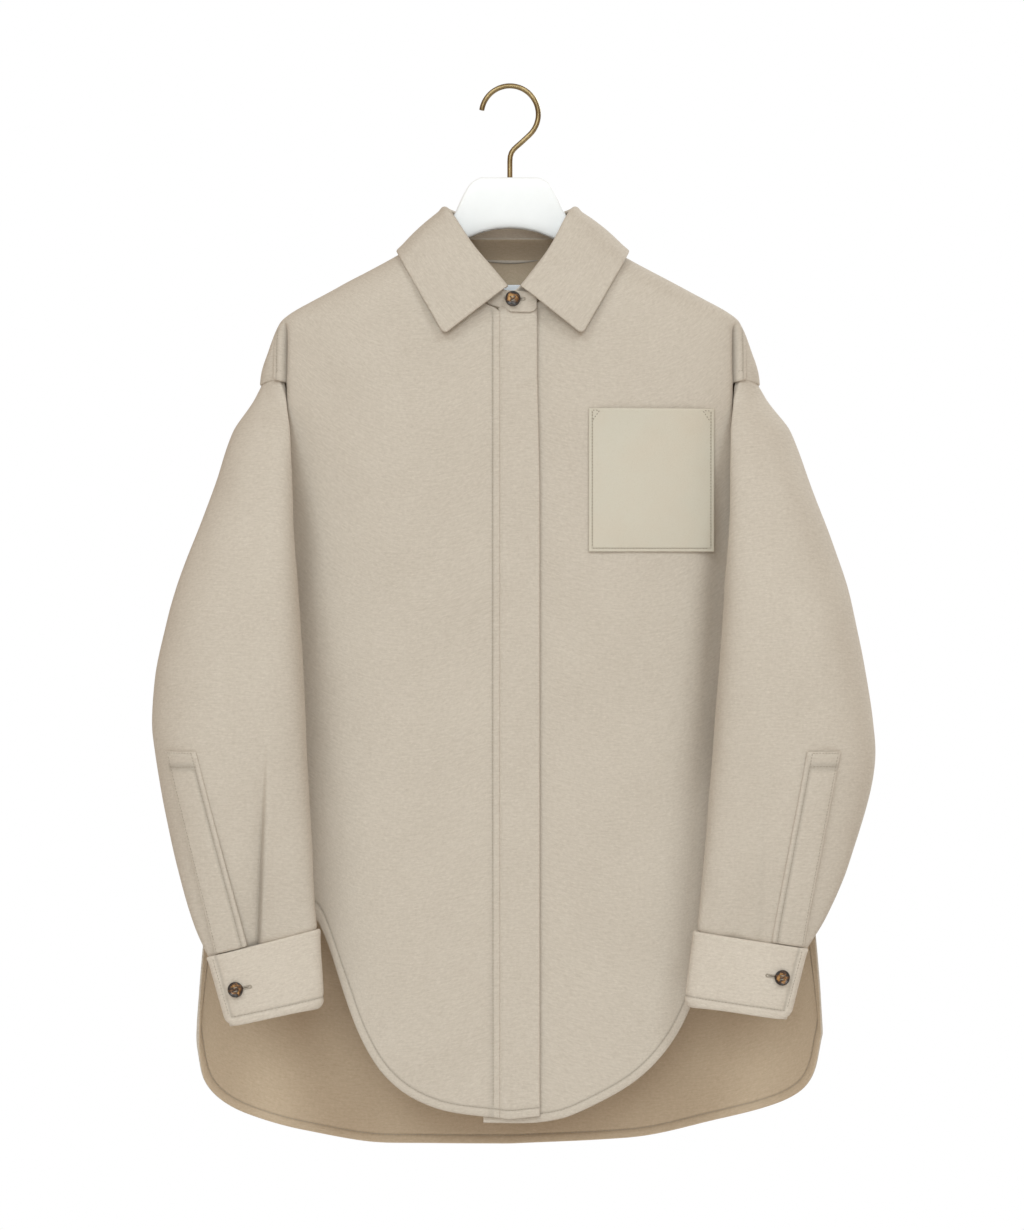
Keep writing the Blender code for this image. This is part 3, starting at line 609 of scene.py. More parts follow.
class Wardrobe:
    """All finishes of the garment, each made once."""

    def __init__(self) -> None:
        """Builds every material."""
        self.wool = Wool("felted_wool").material()
        self.wool_light = Wool("felted_wool_pressed", (0.475, 0.405, 0.332), (0.685, 0.612, 0.522)).material()
        # Painted shade: a darker, warmer copy of the wool for the inner faces of the fronts and back, standing in
        # for the shade inside the garment.
        self.inside = Wool("felted_wool_inside_shade", (0.43, 0.325, 0.22), (0.60, 0.475, 0.345)).material()
        self.hide = Hide("smooth_calf").material()
        self.horn = Horn("clouded_horn").material()
        self.lacquer = Lacquer("white_lacquer").material()
        self.brass = Brass("dull_brass").material()
        self.ribbon = Ribbon("bare_label").material()
        self.thread = Thread("wool_thread").material()
        self.pale_thread = Thread("pocket_thread", (0.21, 0.155, 0.105)).material()
        # Painted shade: near-black sheet in each buttonhole's slit, standing in for the shade in its opening.
        self.slit_shade = Thread("buttonhole_slit_shade", (0.16, 0.115, 0.08)).material()
        self.floor = PaleFloor("pale_floor").material()


def finished(name: str, bm: bmesh.types.BMesh, material: bpy.types.Material, node: str | None) -> bpy.types.Object:
    """Turns a bmesh into a smooth piece that rides on the garment.

    Args:
        name: the piece's name.
        bm: its mesh in metres, freed here.
        material: its finish.
        node: the solid that it stands for, if any.

    Returns:
        The object.
    """
    mesh = bpy.data.meshes.new(name)
    bm.to_mesh(mesh)
    bm.free()
    mesh.materials.append(material)
    mesh.shade_smooth()
    made = bpy.data.objects.new(name, mesh)
    bpy.context.scene.collection.objects.link(made)
    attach(made, "root")
    if node:
        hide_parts(node)
    return made


@dataclass
class Cloth:
    """A cut piece of cloth as a grid of points, with its thickness at each."""

    name: str
    points: Array
    ply: Array
    keep: Array | None = None
    weld: bool = False
    press_and_shade: Array | None = None
    # Material of the inner face: the painted-shade copy of the wool.
    inside: bpy.types.Material | None = None
    way: int = 1

    def normals(self, outward: Array | Triple) -> Array:
        """Unit normals of the middle surface, on the side of a way out."""
        n = unit(np.cross(np.gradient(self.points, axis=1), np.gradient(self.points, axis=0)))
        return n * np.sign((n * outward).sum(-1, keepdims=True) + 1e-6)

    def lifted(self, height: Array, outward: Array | Triple) -> None:
        """Moves the cloth along its normals.

        Args:
            height: millimetres at each point.
            outward: which way is out, one for all or one for each point.
        """
        self.points = self.points + self.normals(outward) * height[..., None]

    def cloth_map(self) -> Array:
        """Distances along the rows and down the columns, for the pattern of the cloth."""
        across = np.linalg.norm(np.diff(self.points, axis=1), axis=-1)
        down = np.linalg.norm(np.diff(self.points, axis=0), axis=-1)
        rows, cols = self.points.shape[:2]
        u, v = np.zeros((rows, cols)), np.zeros((rows, cols))
        u[:, 1:], v[1:, :] = np.cumsum(across, 1), np.cumsum(down, 0)
        u -= u[:, cols // 2: cols // 2 + 1]
        return np.stack([u + self.points[:, cols // 2: cols // 2 + 1, 0], -v], -1) * MM

    def build(self, material: bpy.types.Material, node: str, slot: str, rests_on: tuple[str, ...],
              level: int = 1) -> bpy.types.Object:
        """Makes the piece, a wall with rounded edges.

        Args:
            material: its finish.
            node: the solid that it stands for.
            slot: the record's material slot; not used.
            rests_on: names of what carries it; not used.
            level: rounds of smoothing.

        Returns:
            The object.
        """
        rows, cols = self.points.shape[:2]
        bm = bmesh.new()
        bmesh.ops.create_grid(bm, x_segments=cols - 1, y_segments=rows - 1, size=0.5)
        bm.verts.ensure_lookup_table()
        maps, uvs = self.cloth_map(), bm.loops.layers.uv.new("cloth")
        weight = bm.verts.layers.deform.verify()
        # Per point: how far the colour darkens, for pressing along stitch lines and painted shade in creases and
        # seams.
        pressed_and_shaded = bm.verts.layers.float.new("pressed_and_shaded")
        cell = {}
        for vert in bm.verts:
            c, r = round((vert.co.x + 0.5) * (cols - 1)), round((0.5 - vert.co.y) * (rows - 1))
            cell[vert] = (r, c)
            vert[weight][0] = float(self.ply[r, c] / PLY_MAX)
            vert[pressed_and_shaded] = 0.0 if self.press_and_shade is None else float(self.press_and_shade[r, c])
        for face in bm.faces:
            for loop in face.loops:
                loop[uvs].uv = maps[cell[loop.vert]]
        if self.keep is not None:
            lost = [f for f in bm.faces if not self.keep[min(cell[v][0] for v in f.verts),
                    min(cell[v][1] for v in f.verts)]]
            bmesh.ops.delete(bm, geom=lost, context="FACES")
        for vert in bm.verts:
            vert.co = Vector(self.points[cell[vert]]) * MM
        if self.weld:
            bmesh.ops.remove_doubles(bm, verts=bm.verts, dist=0.00005)
        bmesh.ops.recalc_face_normals(bm, faces=bm.faces)
        if self.inside and sum(f.normal.y * f.calc_area() for f in bm.faces) * self.way < 0:
            bmesh.ops.reverse_faces(bm, faces=bm.faces)
        made = finished(self.name, bm, material, node)
        made.vertex_groups.new(name="ply")
        wall = made.modifiers.new("wall", "SOLIDIFY")
        wall.thickness, wall.offset, wall.vertex_group = PLY_MAX * MM, 0.0, "ply"
        wall.use_even_offset = False
        # The inner face takes the painted-shade copy of the wool.
        if self.inside:
            made.data.materials.append(self.inside)
            wall.material_offset = 1
        smooth = made.modifiers.new("smooth", "SUBSURF")
        smooth.levels = smooth.render_levels = level
        return made


# Distances from a turned edge, and the thickness at each
HEM_STEPS = (0.0, 1.2, 4.0, 6.8, HEM_BAND, 9.8, 13.0)
WELT_STEPS = (0.0, 1.2, 3.6, 5.6, WELT_BAND, 8.4, 12.0)
FAR = 400.0             # distance of what is nowhere near an edge
HEM_PLY = Table("d", dict(d=(*HEM_STEPS, FAR), t=(2.3, 3.6, 4.3, 3.7, 1.1, 2.3, CLOTH, CLOTH)))
WELT_PLY = Table("d", dict(d=(*WELT_STEPS, FAR), t=(1.9, 2.9, 3.4, 3.1, 1.1, 2.3, CLOTH, CLOTH)))
CUFF_PLY = Table("d", dict(d=(*HEM_STEPS, FAR), t=(2.6, 4.0, 4.7, 4.0, 1.5, 3.0, 3.3, 3.3)))


def stitched(distance: Array, line: float = HEM_BAND, reach: float = 1.5) -> Array:
    """How hard the thread presses the cloth, 1 on the line of stitches; the colour is darkened by it, partly as
    painted shade of the stitched groove.
    """
    return np.clip(1 - np.abs(distance - line) / reach, 0, 1)


@dataclass
class Line:
    """A line of stitches: its points and the way out of the cloth at each, or one for all."""

    points: Array
    out: Array | Triple

    def __post_init__(self) -> None:
        """Gives every point its way out."""
        self.out = np.broadcast_to(self.out, self.points.shape)

    @classmethod
    def both(cls, points: Array, out: Array) -> list["Line"]:
        """The same line on the outer and the inner face."""
        return [cls(points, out), cls(points, -out)]


def skin_of(host: bpy.types.Object) -> BVHTree:
    """Finished surface of a piece, for what is sewn on it."""
    bpy.context.view_layer.update()
    return BVHTree.FromObject(host, bpy.context.evaluated_depsgraph_get())


def lay_stitch(skin: BVHTree, bm: bmesh.types.BMesh, spot: Vector, up: Vector, along: Vector,
               size: Triple, rise: float = 0.1, above: float = 8.0, reach: float = 20.0) -> None:
    """Lays one stitch on the cloth.

    Args:
        skin: the cloth's surface.
        bm: where the stitch goes.
        spot: near the stitch's middle.
        up: way out of the cloth.
        along: way that the stitch runs.
        size: half its length, width and height.
        rise: how far its middle stands above the surface.
        above: how far over the spot the surface is looked for.
        reach: how deep from there.
    """
    hit, normal, _, _ = skin.ray_cast((spot + up * above) * MM, -up, reach * MM)
    if hit is None:
        return
    normal = normal if normal.dot(up) > 0 else -normal
    along = (along - normal * along.dot(normal)).normalized()
    pose = Matrix((along * size[0], normal.cross(along) * size[1], normal * size[2])).transposed().to_4x4()
    place = Matrix.Translation(hit + normal * rise * MM) @ Matrix.Scale(MM, 4)
    bmesh.ops.create_uvsphere(bm, u_segments=6, v_segments=4, radius=1.0, matrix=place @ pose)


@dataclass
class Sewing:
    """Sews single stitches along lines on a piece."""

    material: bpy.types.Material
    pitch: float = STITCH_GAP
    length: float = 2.3
    radius: float = 0.34

    def sew(self, name: str, host: bpy.types.Object, lines: list[Line]) -> bpy.types.Object:
        """Lays the stitches on the host's surface.

        Args:
            name: the name of the new piece.
            host: the piece that is sewn.
            lines: where the stitches run.

        Returns:
            The object that holds all the stitches.
        """
        skin = skin_of(host)
        size = (self.length / 2, self.radius, self.radius)
        bm, part, batch = bmesh.new(), bmesh.new(), bpy.data.meshes.new("batch")
        for line in lines:
            run = travelled(line.points)
            for k, s in enumerate(np.arange(self.pitch / 2, run[-1] - self.pitch / 2 + 0.01, self.pitch)):
                if k % 24 == 0:
                    self.gather(part, batch, bm)
                spot, ahead, out = (Vector([np.interp(at, run, column) for column in table.T]) for at,
                                    table in
                                    ((s, line.points), (s + 0.4, line.points), (s, line.out)))
                lay_stitch(skin, part, spot, out.normalized(), ahead - spot, size, self.radius * 0.2, 6.0,
                           14.0)
        self.gather(part, batch, bm)
        part.free()
        bpy.data.meshes.remove(batch)
        made = finished(name, bm, self.material, None)
        log.info("%s: %d faces", name, len(made.data.polygons))
        return made

    @staticmethod
    def gather(part: bmesh.types.BMesh, batch: bpy.types.Mesh, whole: bmesh.types.BMesh) -> None:
        """Moves the stitches made so far into the whole."""
        part.to_mesh(batch)
        whole.from_mesh(batch)
        part.clear()


def hem_places(hem: Table, start: float, s: Array) -> tuple[Array, Array]:
    """Places along a hem by the share of its length.

    Args:
        hem: the hem's x and z.
        start: where it begins across.
        s: shares of the length from there.

    Returns:
        The places across and down.
    """
    xs, zs = np.array(hem.columns["x"], float), np.array(hem.columns["z"], float)
    first = np.interp(start, xs, zs)
    ahead = xs > start + 0.01
    xs, zs = np.concatenate([[start], xs[ahead]]), np.concatenate([[first], zs[ahead]])
    run = travelled(np.stack([xs, zs], -1))
    table = Table("s", dict(s=tuple(run / run[-1]), x=tuple(xs), z=tuple(zs)))
    return table.read("x", s), table.read("z", s)


# How far a cloth laps over its seam, and the columns of the dropped shoulder's end
SEAM_LAP = 0.6
LOBE_FRONT = (0.14, 0.30, 0.48, 0.60, 0.70, 0.80, 0.90, 1.0)
LOBE_BACK = (0.2, 0.4, 0.6, 0.8, 0.92, 1.0)


@dataclass
class HalfPanel:
    """One half of the front or back: neckline, dropped shoulder, armhole, side and hem."""

    hem: Table
    start: float
    back: bool = False
    edge_steps: tuple[float, ...] = WELT_STEPS
    side_steps: tuple[float, ...] = (0.0, 1.2, 3.0)
    columns: int = 37
    hem_rows: int = 48
    pitch: float = 6.6

    def levels(self) -> Array:
        """Heights of the rows above the part that leans into the hem."""
        fell = CROWN_Z + np.array((13.0, 11.0, 9.5, 6.0, 2.0, 0.0))
        tip = TIP_Z + np.array((2.8, 0.6, -1.6, -4.5))
        return np.concatenate([steps(NECK_TOP_Z, TIP_Z + 6, self.pitch * 0.7), tip,
                               steps(TIP_Z - 8, CROWN_Z + 17, self.pitch * 0.7), fell,
                               steps(CROWN_Z - 6, UNDERARM_Z, self.pitch), steps(UNDERARM_Z - 6, SPREAD_Z,
                                       self.pitch)])

    def spread(self, length: float, bend: float) -> Array:
        """Shares of a row's width for its columns, close together along the edges.

        Args:
            length: the row's width.
            bend: how far the columns crowd to the outside.

        Returns:
            One share for each column.
        """
        fit = min(1.0, length / 60) / length
        edge = np.array(self.edge_steps) * fit
        side = 1 - np.array(self.side_steps[::-1]) * fit
        t = np.linspace(0, 1, self.columns - len(edge) - len(side) + 3)[1:-1]
        t = mix(t, np.sin(t * math.pi / 2), bend)
        return np.concatenate([edge, mix(edge[-1], side[0], t), side])

    def sag(self, x: Array, z: float) -> Array:
        """Height of a row's points, which dip to meet the top of the sleeve."""
        weight = ease((-222 - z) / 55) if z >= CROWN_Z else 1 - ease((CROWN_Z - z) / 40)
        return z - crown_dip(x) * weight

    def grid(self) -> tuple[Array, Array, Array]:
        """Works out the panel on the right-hand side.

        Returns:
            The points, each point's distance to the hem, and which cells are kept.
        """
        levels = self.levels()
        columns = len(self.spread(200.0, 0.45))
        last = columns - 1
        rows = len(levels)
        total = rows + self.hem_rows + len(HEM_STEPS)
        lobe = LOBE_BACK if self.back else LOBE_FRONT
        points = np.zeros((total, columns + len(lobe), 3))
        to_hem = np.full(points.shape[:2], FAR)
        edge = "back" if self.back else "front"
        low = NECK_BACK_Z if self.back else NECK_FRONT_Z
        for j, z in enumerate(levels):
            half = float(BODY.sections.read("half", z))
            inner = max(BODY.neck(z, self.back), self.start) if z > low else self.start
            if not self.back and self.start < 0 and z > low - 4:
                inner = max(inner, mix(self.start, PLACKET_SEAM, ease((z - low + 4) / 6)))
            if z >= CROWN_Z:
                crease = float(BODY.armhole.read(edge, ARMHOLE_TOP_Z))
                outer = crease if z < TIP_Z else half * crease / 216.6
            else:
                outer = float(BODY.armhole.read(edge, z)) if z > UNDERARM_Z else half
            outer = outer + SEAM_LAP if UNDERARM_Z < z < CROWN_Z else outer
            x = inner + (outer - inner) * self.spread(outer - inner, 0.45)
            level = self.sag(x, z)
            f = BODY.share(x, level, self.back) * np.where(x < 0, -1, 1)
            lap = (-1 if self.back else 1) * SEAM_LAP / half
            if z <= UNDERARM_Z:
                f[-1] = 1.0 + lap
            points[j, :columns] = BODY.place(f, level)
            seam = float(BODY.shoulder(np.array(z))) + lap
            f = mix(float(BODY.share(np.array(outer), np.array(z), self.back)), seam, np.array(lobe))
            points[j, columns:] = BODY.place(f, self.sag(BODY.place(f, z)[:, 0], z))
        base = points[rows - 1, :columns, 0]
        hem_run = float(travelled(np.array([self.hem.columns["x"], self.hem.columns["z"]]).T)[-1])
        hx, hz = hem_places(self.hem, self.start, self.spread(hem_run, 0.2))
        run = np.hypot(hx - base, hz - SPREAD_Z)
        tangent = unit(np.stack([np.gradient(hx), np.gradient(hz)], -1))
        way = unit(np.stack([(hx - base) * 0.5, hz - SPREAD_Z], -1))
        slant = np.maximum(np.abs(way[:, 0] * -tangent[:, 1] + way[:, 1] * tangent[:, 0]), 0.35)
        for r in range(1, self.hem_rows + len(HEM_STEPS) + 1):
            turned = 1 - HEM_STEPS[-1] / slant / run
            if r <= self.hem_rows:
                v = turned * r / (self.hem_rows + 0.5)
            else:
                v = 1 - HEM_STEPS[self.hem_rows + len(HEM_STEPS) - r] / slant / run
            x = mix(base, hx, ease(v) * 0.5 + v * 0.5)
            z = mix(SPREAD_Z, hz, v)
            half = BODY.sections.read("half", z)
            f = BODY.share(np.minimum(np.abs(x), half * 0.9996), z, self.back) * np.where(x < 0, -1, 1)
            f[-1] = 1.0 + lap
            row = BODY.place(f, z)
            if self.back:
                near = ease((x - half + 60) / 60)
                row[:, 1] -= 7 * ease((-770 - z) / 130) * near
            points[rows - 1 + r, :columns] = row
            points[rows - 1 + r, columns:] = row[-1]
            to_hem[rows - 1 + r, :columns] = (1 - v) * run * slant
        keep = np.ones((points.shape[0] - 1, points.shape[1] - 1), bool)
        first = int(np.argmin(np.abs(levels - CROWN_Z)))
        keep[first:, last:] = False
        return points, to_hem, keep


def soft_waves(points: Array, size: float, seed: float) -> Array:
    """Slight unevenness of hanging cloth.

    Args:
        points: the cloth's points in millimetres.
        size: how far it stands in or out at most.
        seed: picks the pattern.

    Returns:
        Millimetres at each point.
    """
    flat = points.reshape(-1, 3)
    wave = [noise.noise(Vector((p[0] / 55, p[2] / 120, seed))) + 0.5
            * noise.noise(Vector((p[0] / 24, p[2] / 46, seed + 9)))
            for p in flat]
    return np.array(wave).reshape(points.shape[:2]) * size


HEM_LEFT = Table("x", dict(x=(-26, 0, 57, 90, 119, 141, 157, 171, 184, 205, 240, 286),
                           z=(-976, -973, -966, -954, -931, -895, -852, -809, -782, -767, -757, -752)))
HEM_RIGHT = Table("x", dict(x=(-26, 0, 14, 42, 82, 122, 153, 171, 184, 205, 240, 286),
                            z=(-976.4, -976.7, -977, -974, -958, -934, -900, -865, -820, -775, -757, -752)))
HEM_BACK_L = Table("x", dict(x=(0, 116, 199, 256, 282, 293, 298),
                             z=(-1008, -1007, -994, -976, -958, -940, -905)))
HEM_BACK_R = Table("x", dict(x=(0, 116, 195, 255, 281, 291, 297),
                             z=(-1008, -1002, -985, -968, -952, -934, -900)))


@dataclass
class FrontPanel:
    """One front, with its dropped shoulder and turned, curved hem."""

    side: Side
    finishes: Wardrobe
    folds: tuple[Fold, ...] = ()
    cloth: Cloth | None = None
    to_hem: Array | None = None
    piece: bpy.types.Object | None = None

    def build(self) -> None:
        """Shapes the cloth and makes the piece."""
        left = self.side is Side.LEFT
        half = HalfPanel(HEM_LEFT if left else HEM_RIGHT, PLACKET_SEAM if left else UNDER_EDGE,
                         edge_steps=WELT_STEPS if left else (0.0, 1.2, 4.0))
        points, to_hem, keep = half.grid()
        x, z = points[..., 0].copy(), points[..., 2].copy()
        lift = soft_waves(points, 1.0, 3.0 + self.side.sign)
        for fold in self.folds:
            lift += fold.lift(x, z)
        if left:
            to_edge = np.where(z < NECK_FRONT_Z + 2, x - PLACKET_SEAM, FAR)
            lift *= ease((x - PLACKET_SEAM) / 30)
        else:
            to_edge = np.full(x.shape, FAR)
            lift *= ease((x - 20) / 30)
            points[..., 1] += (UNDER_SLIP - 0.5) * ease((58 - x) / 30) * (z < NECK_FRONT_Z + 4)
        lift *= mix(0.25, 1.0, ease((np.abs(z) - 150) / 60))
        crease = -crease_depth(z) * np.exp(-(np.abs(x - CREASE_X) / 2.0) ** 1.5)
        ply = HEM_PLY.read("t", to_hem)
        ply = np.where(to_edge < 20, np.maximum(ply * (to_hem < 11), WELT_PLY.read("t", to_edge)
                * (to_hem >= 11)), ply)
        ply = self.felled(x, z, keep, ply)
        # Darker along the stitch lines; painted shade in the crease below the hanger's end, along the shoulder
        # seam and down the lobe's last column.
        press_and_shade = np.maximum(stitched(to_hem), stitched(to_edge, WELT_BAND))
        press_and_shade = np.maximum(press_and_shade, 1.9 * ease(-crease / 6) + stitched(x, SEAM_X, 1.1) * (z < -228)
                          * (z > CROWN_Z))
        ply[:, -1], press_and_shade[:, -1] = 1.5, 0.8
        cloth = Cloth(f"front_{self.side.value}_wool", points, ply, keep, False, press_and_shade, self.finishes.inside,
                      -1)
        cloth.lifted(lift + crease, AHEAD)
        cloth.points[..., 0] *= self.side.sign
        self.cloth, self.to_hem = cloth, to_hem
        self.piece = cloth.build(self.finishes.wool, f"front_{self.side.value}", "wool", ("hanger",))

    @staticmethod
    def felled(x: Array, z: Array, keep: Array, ply: Array) -> Array:
        """Thickens the lower edge of the dropped shoulder, where its seam is felled.

        Args:
            x: places across.
            z: heights.
            keep: the cells of the panel; not used.
            ply: thickness so far.

        Returns:
            The thickness with the felled seam.
        """
        rise = z - CROWN_Z + crown_dip(x)
        band = np.interp(rise, (-1, 0, 2, 6, 9, 10.5, 13), (2.6, 2.9, 3.5, 3.4, 3.0, 1.4, 2.0))
        band = mix(band, np.minimum(band, 2.3), ease((x - 230) / 7))
        return np.where((x > 211.5) & (z > CROWN_Z - 7), band, ply)

    def dress(self) -> None:
        """Sews the hem, the placket seam and the shoulder seam."""
        cloth, sign = self.cloth, self.side.sign
        n = cloth.normals(AHEAD)
        hem_row = cloth.points.shape[0] - 1 - HEM_STEPS.index(HEM_BAND)
        last = cloth.points.shape[1] - 1 - len(LOBE_FRONT)
        lines = Line.both(cloth.points[hem_row, :last], n[hem_row, :last])
        z = cloth.points[..., 2]
        if self.side is Side.LEFT:
            column = WELT_STEPS.index(WELT_BAND)
            rows = np.where((z[:, column] < NECK_FRONT_Z - 6) & (self.to_hem[:, column] > 8.0))[0]
            lines.append(Line(cloth.points[rows, column], n[rows, column]))
        heights = steps(-229, -272, 3)
        seam = np.stack([np.full(len(heights), sign * SEAM_X),
                         BODY.front_y(np.full(len(heights), SEAM_X), heights), heights], -1)
        lines.append(Line(seam, (sign * 0.5, -1.0, 0.0)))
        across = steps(215, 222, 3)
        level = CROWN_Z - crown_dip(across) + 10.0
        fell = np.stack([sign * across, BODY.front_y(across, level), level], -1)
        lines.append(Line(fell, (sign * 0.7, -1.0, 0.0)))
        Sewing(self.finishes.thread).sew(f"front_{self.side.value}_stitches", self.piece, lines)


@dataclass
class Placket:
    """Concealed placket: the folded strip at the edge of the upper front."""

    finishes: Wardrobe
    columns: tuple[float, ...] = (-1.8, -0.6, 1.2, 4.0, 8.5, 13.5, 18.5, 23.5, 27.8, 31.3, 33.9, 35.0)

    def build(self) -> None:
        """Shapes the strip, with its small wrinkles, and sews its hem."""
        levels = np.concatenate([steps(-209, SPREAD_Z, 4.5), steps(SPREAD_Z - 6, -940, 6)])
        x = np.array(self.columns) - PLACKET_SEAM
        end = np.interp(np.abs(x), HEM_LEFT.columns["x"], HEM_LEFT.columns["z"])
        rows = [np.stack([x, np.zeros_like(x), np.full_like(x, z)], -1) for z in levels]
        for d in (30.0, 22.0) + HEM_STEPS[::-1]:
            rows.append(np.stack([x, np.zeros_like(x), end + d], -1))
        points = np.array(rows)
        f = BODY.share(points[..., 0], points[..., 2]) * np.sign(points[..., 0] + 1e-9)
        points = BODY.place(f, points[..., 2])
        wide = ease((-250 - points[..., 2]) / 150) * 2.4
        points[..., 0] += wide * ease((points[..., 0] - 5) / 18)
        ply = HEM_PLY.read("t", points[..., 2] - end[None, :])
        sides = np.interp(np.array(self.columns), (-1.8, 1.2, 4, 8, 27, 31.3, 33.9, 35),
                          (1.7, 2.3, 2.6, 2.5, 2.7, 3.5, 3.3, 2.2))
        ply = np.where(points[..., 2] - end[None, :] < 12, np.minimum(ply, sides[None, :] + 0.8),
                       sides[None, :])
        # Darker along the hem's stitch line: pressing, and painted shade of its groove.
        cloth = Cloth("placket_wool", points, ply, press_and_shade=stitched(points[..., 2] - end[None, :]))
        px, pz = points[..., 0], points[..., 2]
        free = ease((px + 2) / 20)
        lift = 1.6 * ease((px + 10) / 4.5) - 0.9 + soft_waves(points, 0.7, 21.0) * free
        for z, rise in ((-224, 1.2), (-232, -0.9), (-276, 0.8), (-286, -0.9), (-295, 0.7), (-470, 0.5),
                        (-640, -0.5)):
            lift += Fold(((4, z - 7), (25, z + 3)), rise, 3.6, fade=8.0).lift(px, pz)
        cloth.lifted(lift, AHEAD)
        piece = cloth.build(self.finishes.wool, "placket", "wool", ("front_left",))
        row = cloth.points.shape[0] - 1 - HEM_STEPS.index(HEM_BAND)
        Sewing(self.finishes.thread).sew("placket_stitches", piece, [Line(cloth.points[row], AHEAD)])


@dataclass
class BackPanel:
    """The back in one piece, with its long rounded tail."""

    finishes: Wardrobe
    folds: tuple[Fold, ...] = (
        Fold(((-120, -180), (-150, -420), (-170, -700)), -4.0, 24, fade=160),
        Fold(((118, -190), (150, -420), (176, -720)), -4.0, 24, fade=160),
        Fold(((-18, -250), (-30, -600), (-42, -960)), 4.6, 32, fade=200),
        Fold(((64, -380), (70, -700), (84, -990)), -4.4, 24, fade=220),
        Fold(((-96, -500), (-104, -760), (-128, -1000)), -4.6, 24, fade=200),
        Fold(((-205, -640), (-214, -800), (-226, -960)), 3.6, 20, fade=160),
        Fold(((206, -620), (218, -800), (224, -950)), 3.6, 22, fade=160))

    def build(self) -> None:
        """Joins the two halves, shapes the folds and sews the hem."""
        halves = []
        for hem in (HEM_BACK_L, HEM_BACK_R):
            half = HalfPanel(hem, 0.0, back=True, edge_steps=(0.0,), side_steps=HEM_STEPS, columns=40,
                             hem_rows=44, pitch=8.0)
            halves.append(half.grid())
        (left, hem_l, keep_l), (right, hem_r, keep_r) = halves
        left = left * [-1, 1, 1]
        points = np.concatenate([left[:, ::-1], right[:, 1:]], axis=1)
        to_hem = np.concatenate([hem_l[:, ::-1], hem_r[:, 1:]], axis=1)
        keep = np.concatenate([keep_l[:, ::-1], keep_r], axis=1)
        x, z = points[..., 0], points[..., 2]
        half = BODY.sections.read("half", z)
        cols = right.shape[1] - 1 - len(LOBE_BACK)
        middle = points.shape[1] // 2
        side_steps = np.full(points.shape[1], FAR)
        for k, d in enumerate(HEM_STEPS):
            side_steps[middle + cols - k] = side_steps[middle - cols + k] = d
        to_side = np.where(z < VENT_Z - 4, np.broadcast_to(side_steps, z.shape), FAR)
        ply = HEM_PLY.read("t", np.minimum(to_hem, to_side))
        lift = soft_waves(points, 1.3, 40.0)
        for fold in self.folds:
            lift += fold.lift(x, z)
        lift *= ease((half - np.abs(x)) / 45) * mix(0.2, 1.0, ease((np.abs(z) - 170) / 70))
        # Darker along the hem and vent stitch lines: pressing, and painted shade of their grooves.
        cloth = Cloth("back_wool", points, ply, keep, False, stitched(np.minimum(to_hem, to_side)),
                      self.finishes.inside, 1)
        cloth.lifted(lift, BEHIND)
        for edge, way in ((slice(0, 2), 1), (slice(-2, None), -1)):
            cloth.points[:, edge] += [0.5 * way, 0.8, 0]
        piece = cloth.build(self.finishes.wool, "back", "wool", ("hanger",))
        n = cloth.normals(BEHIND)
        row = points.shape[0] - 1 - HEM_STEPS.index(HEM_BAND)
        span = slice(middle - cols + 4, middle + cols - 3)
        sewn = Line.both(cloth.points[row, span], n[row, span])
        low = VENT_Z - 6
        vent_rows = [r for r in range(points.shape[0] - 6)
                     if min(z[r, middle], z[r, middle + cols - 4]) < low]
        for column in (middle - cols + 4, middle + cols - 4):
            rows = [r for r in vent_rows if cloth.points[r, column, 2] < low]
            sewn += Line.both(cloth.points[rows, column], n[rows, column])
        across, down = steps(-78, 78, 4), steps(-292, -486, 5)
        for way, at, level in [(-1.0, across, np.full(len(across), -184.0))] + [
                (1.0, s * (BODY.armhole.read("back", down) - 8), down) for s in (-1, 1)]:
            f = 2 - BODY.share(at, level)
            sewn.append(Line(BODY.place(np.where(at < 0, -f, f), level), (0.0, way, 0.0)))
        Sewing(self.finishes.thread).sew("back_stitches", piece, sewn)


SLEEVE = Table("z", dict(
    z=(-277, -315, -382, -448, -475, -505, -562, -600, -626, -724, -775, -800),
    out_left=(239, 257, 281, 304, 313, 321, 332, 334, 331, 309, 293, 281),
    in_left=(212, 208, 204, 201, 199, 197, 193, 191, 190, 185, 183, 180.5),
    out_right=(240, 260, 286, 309, 317, 324, 334, 339, 341, 316, 293, 276.5),
    in_right=(212, 209, 206, 203, 201, 199, 195, 192, 190, 182, 177, 174.8),
    centre=(0, -14, -33, -45, -50, -54, -60, -64, -67, -76, -80, -82),
    lean=(6, 10, 12, 12, 11, 10, 8, 6, 5, 2, 0, 0),
    front=(12, 20, 36, 44, 47, 50, 51, 49, 46, 30, 18, 12),
    back=(12, 16, 27, 35, 38, 40, 42, 41, 39, 27, 17, 12),
    start=(150, 172, 188, 204, 236, 275, 275, 275, 275, 275, 275, 275),
    stop=(-62, -70, -78, -82, -84, -85, -85, -85, -85, -85, -85, -85)))


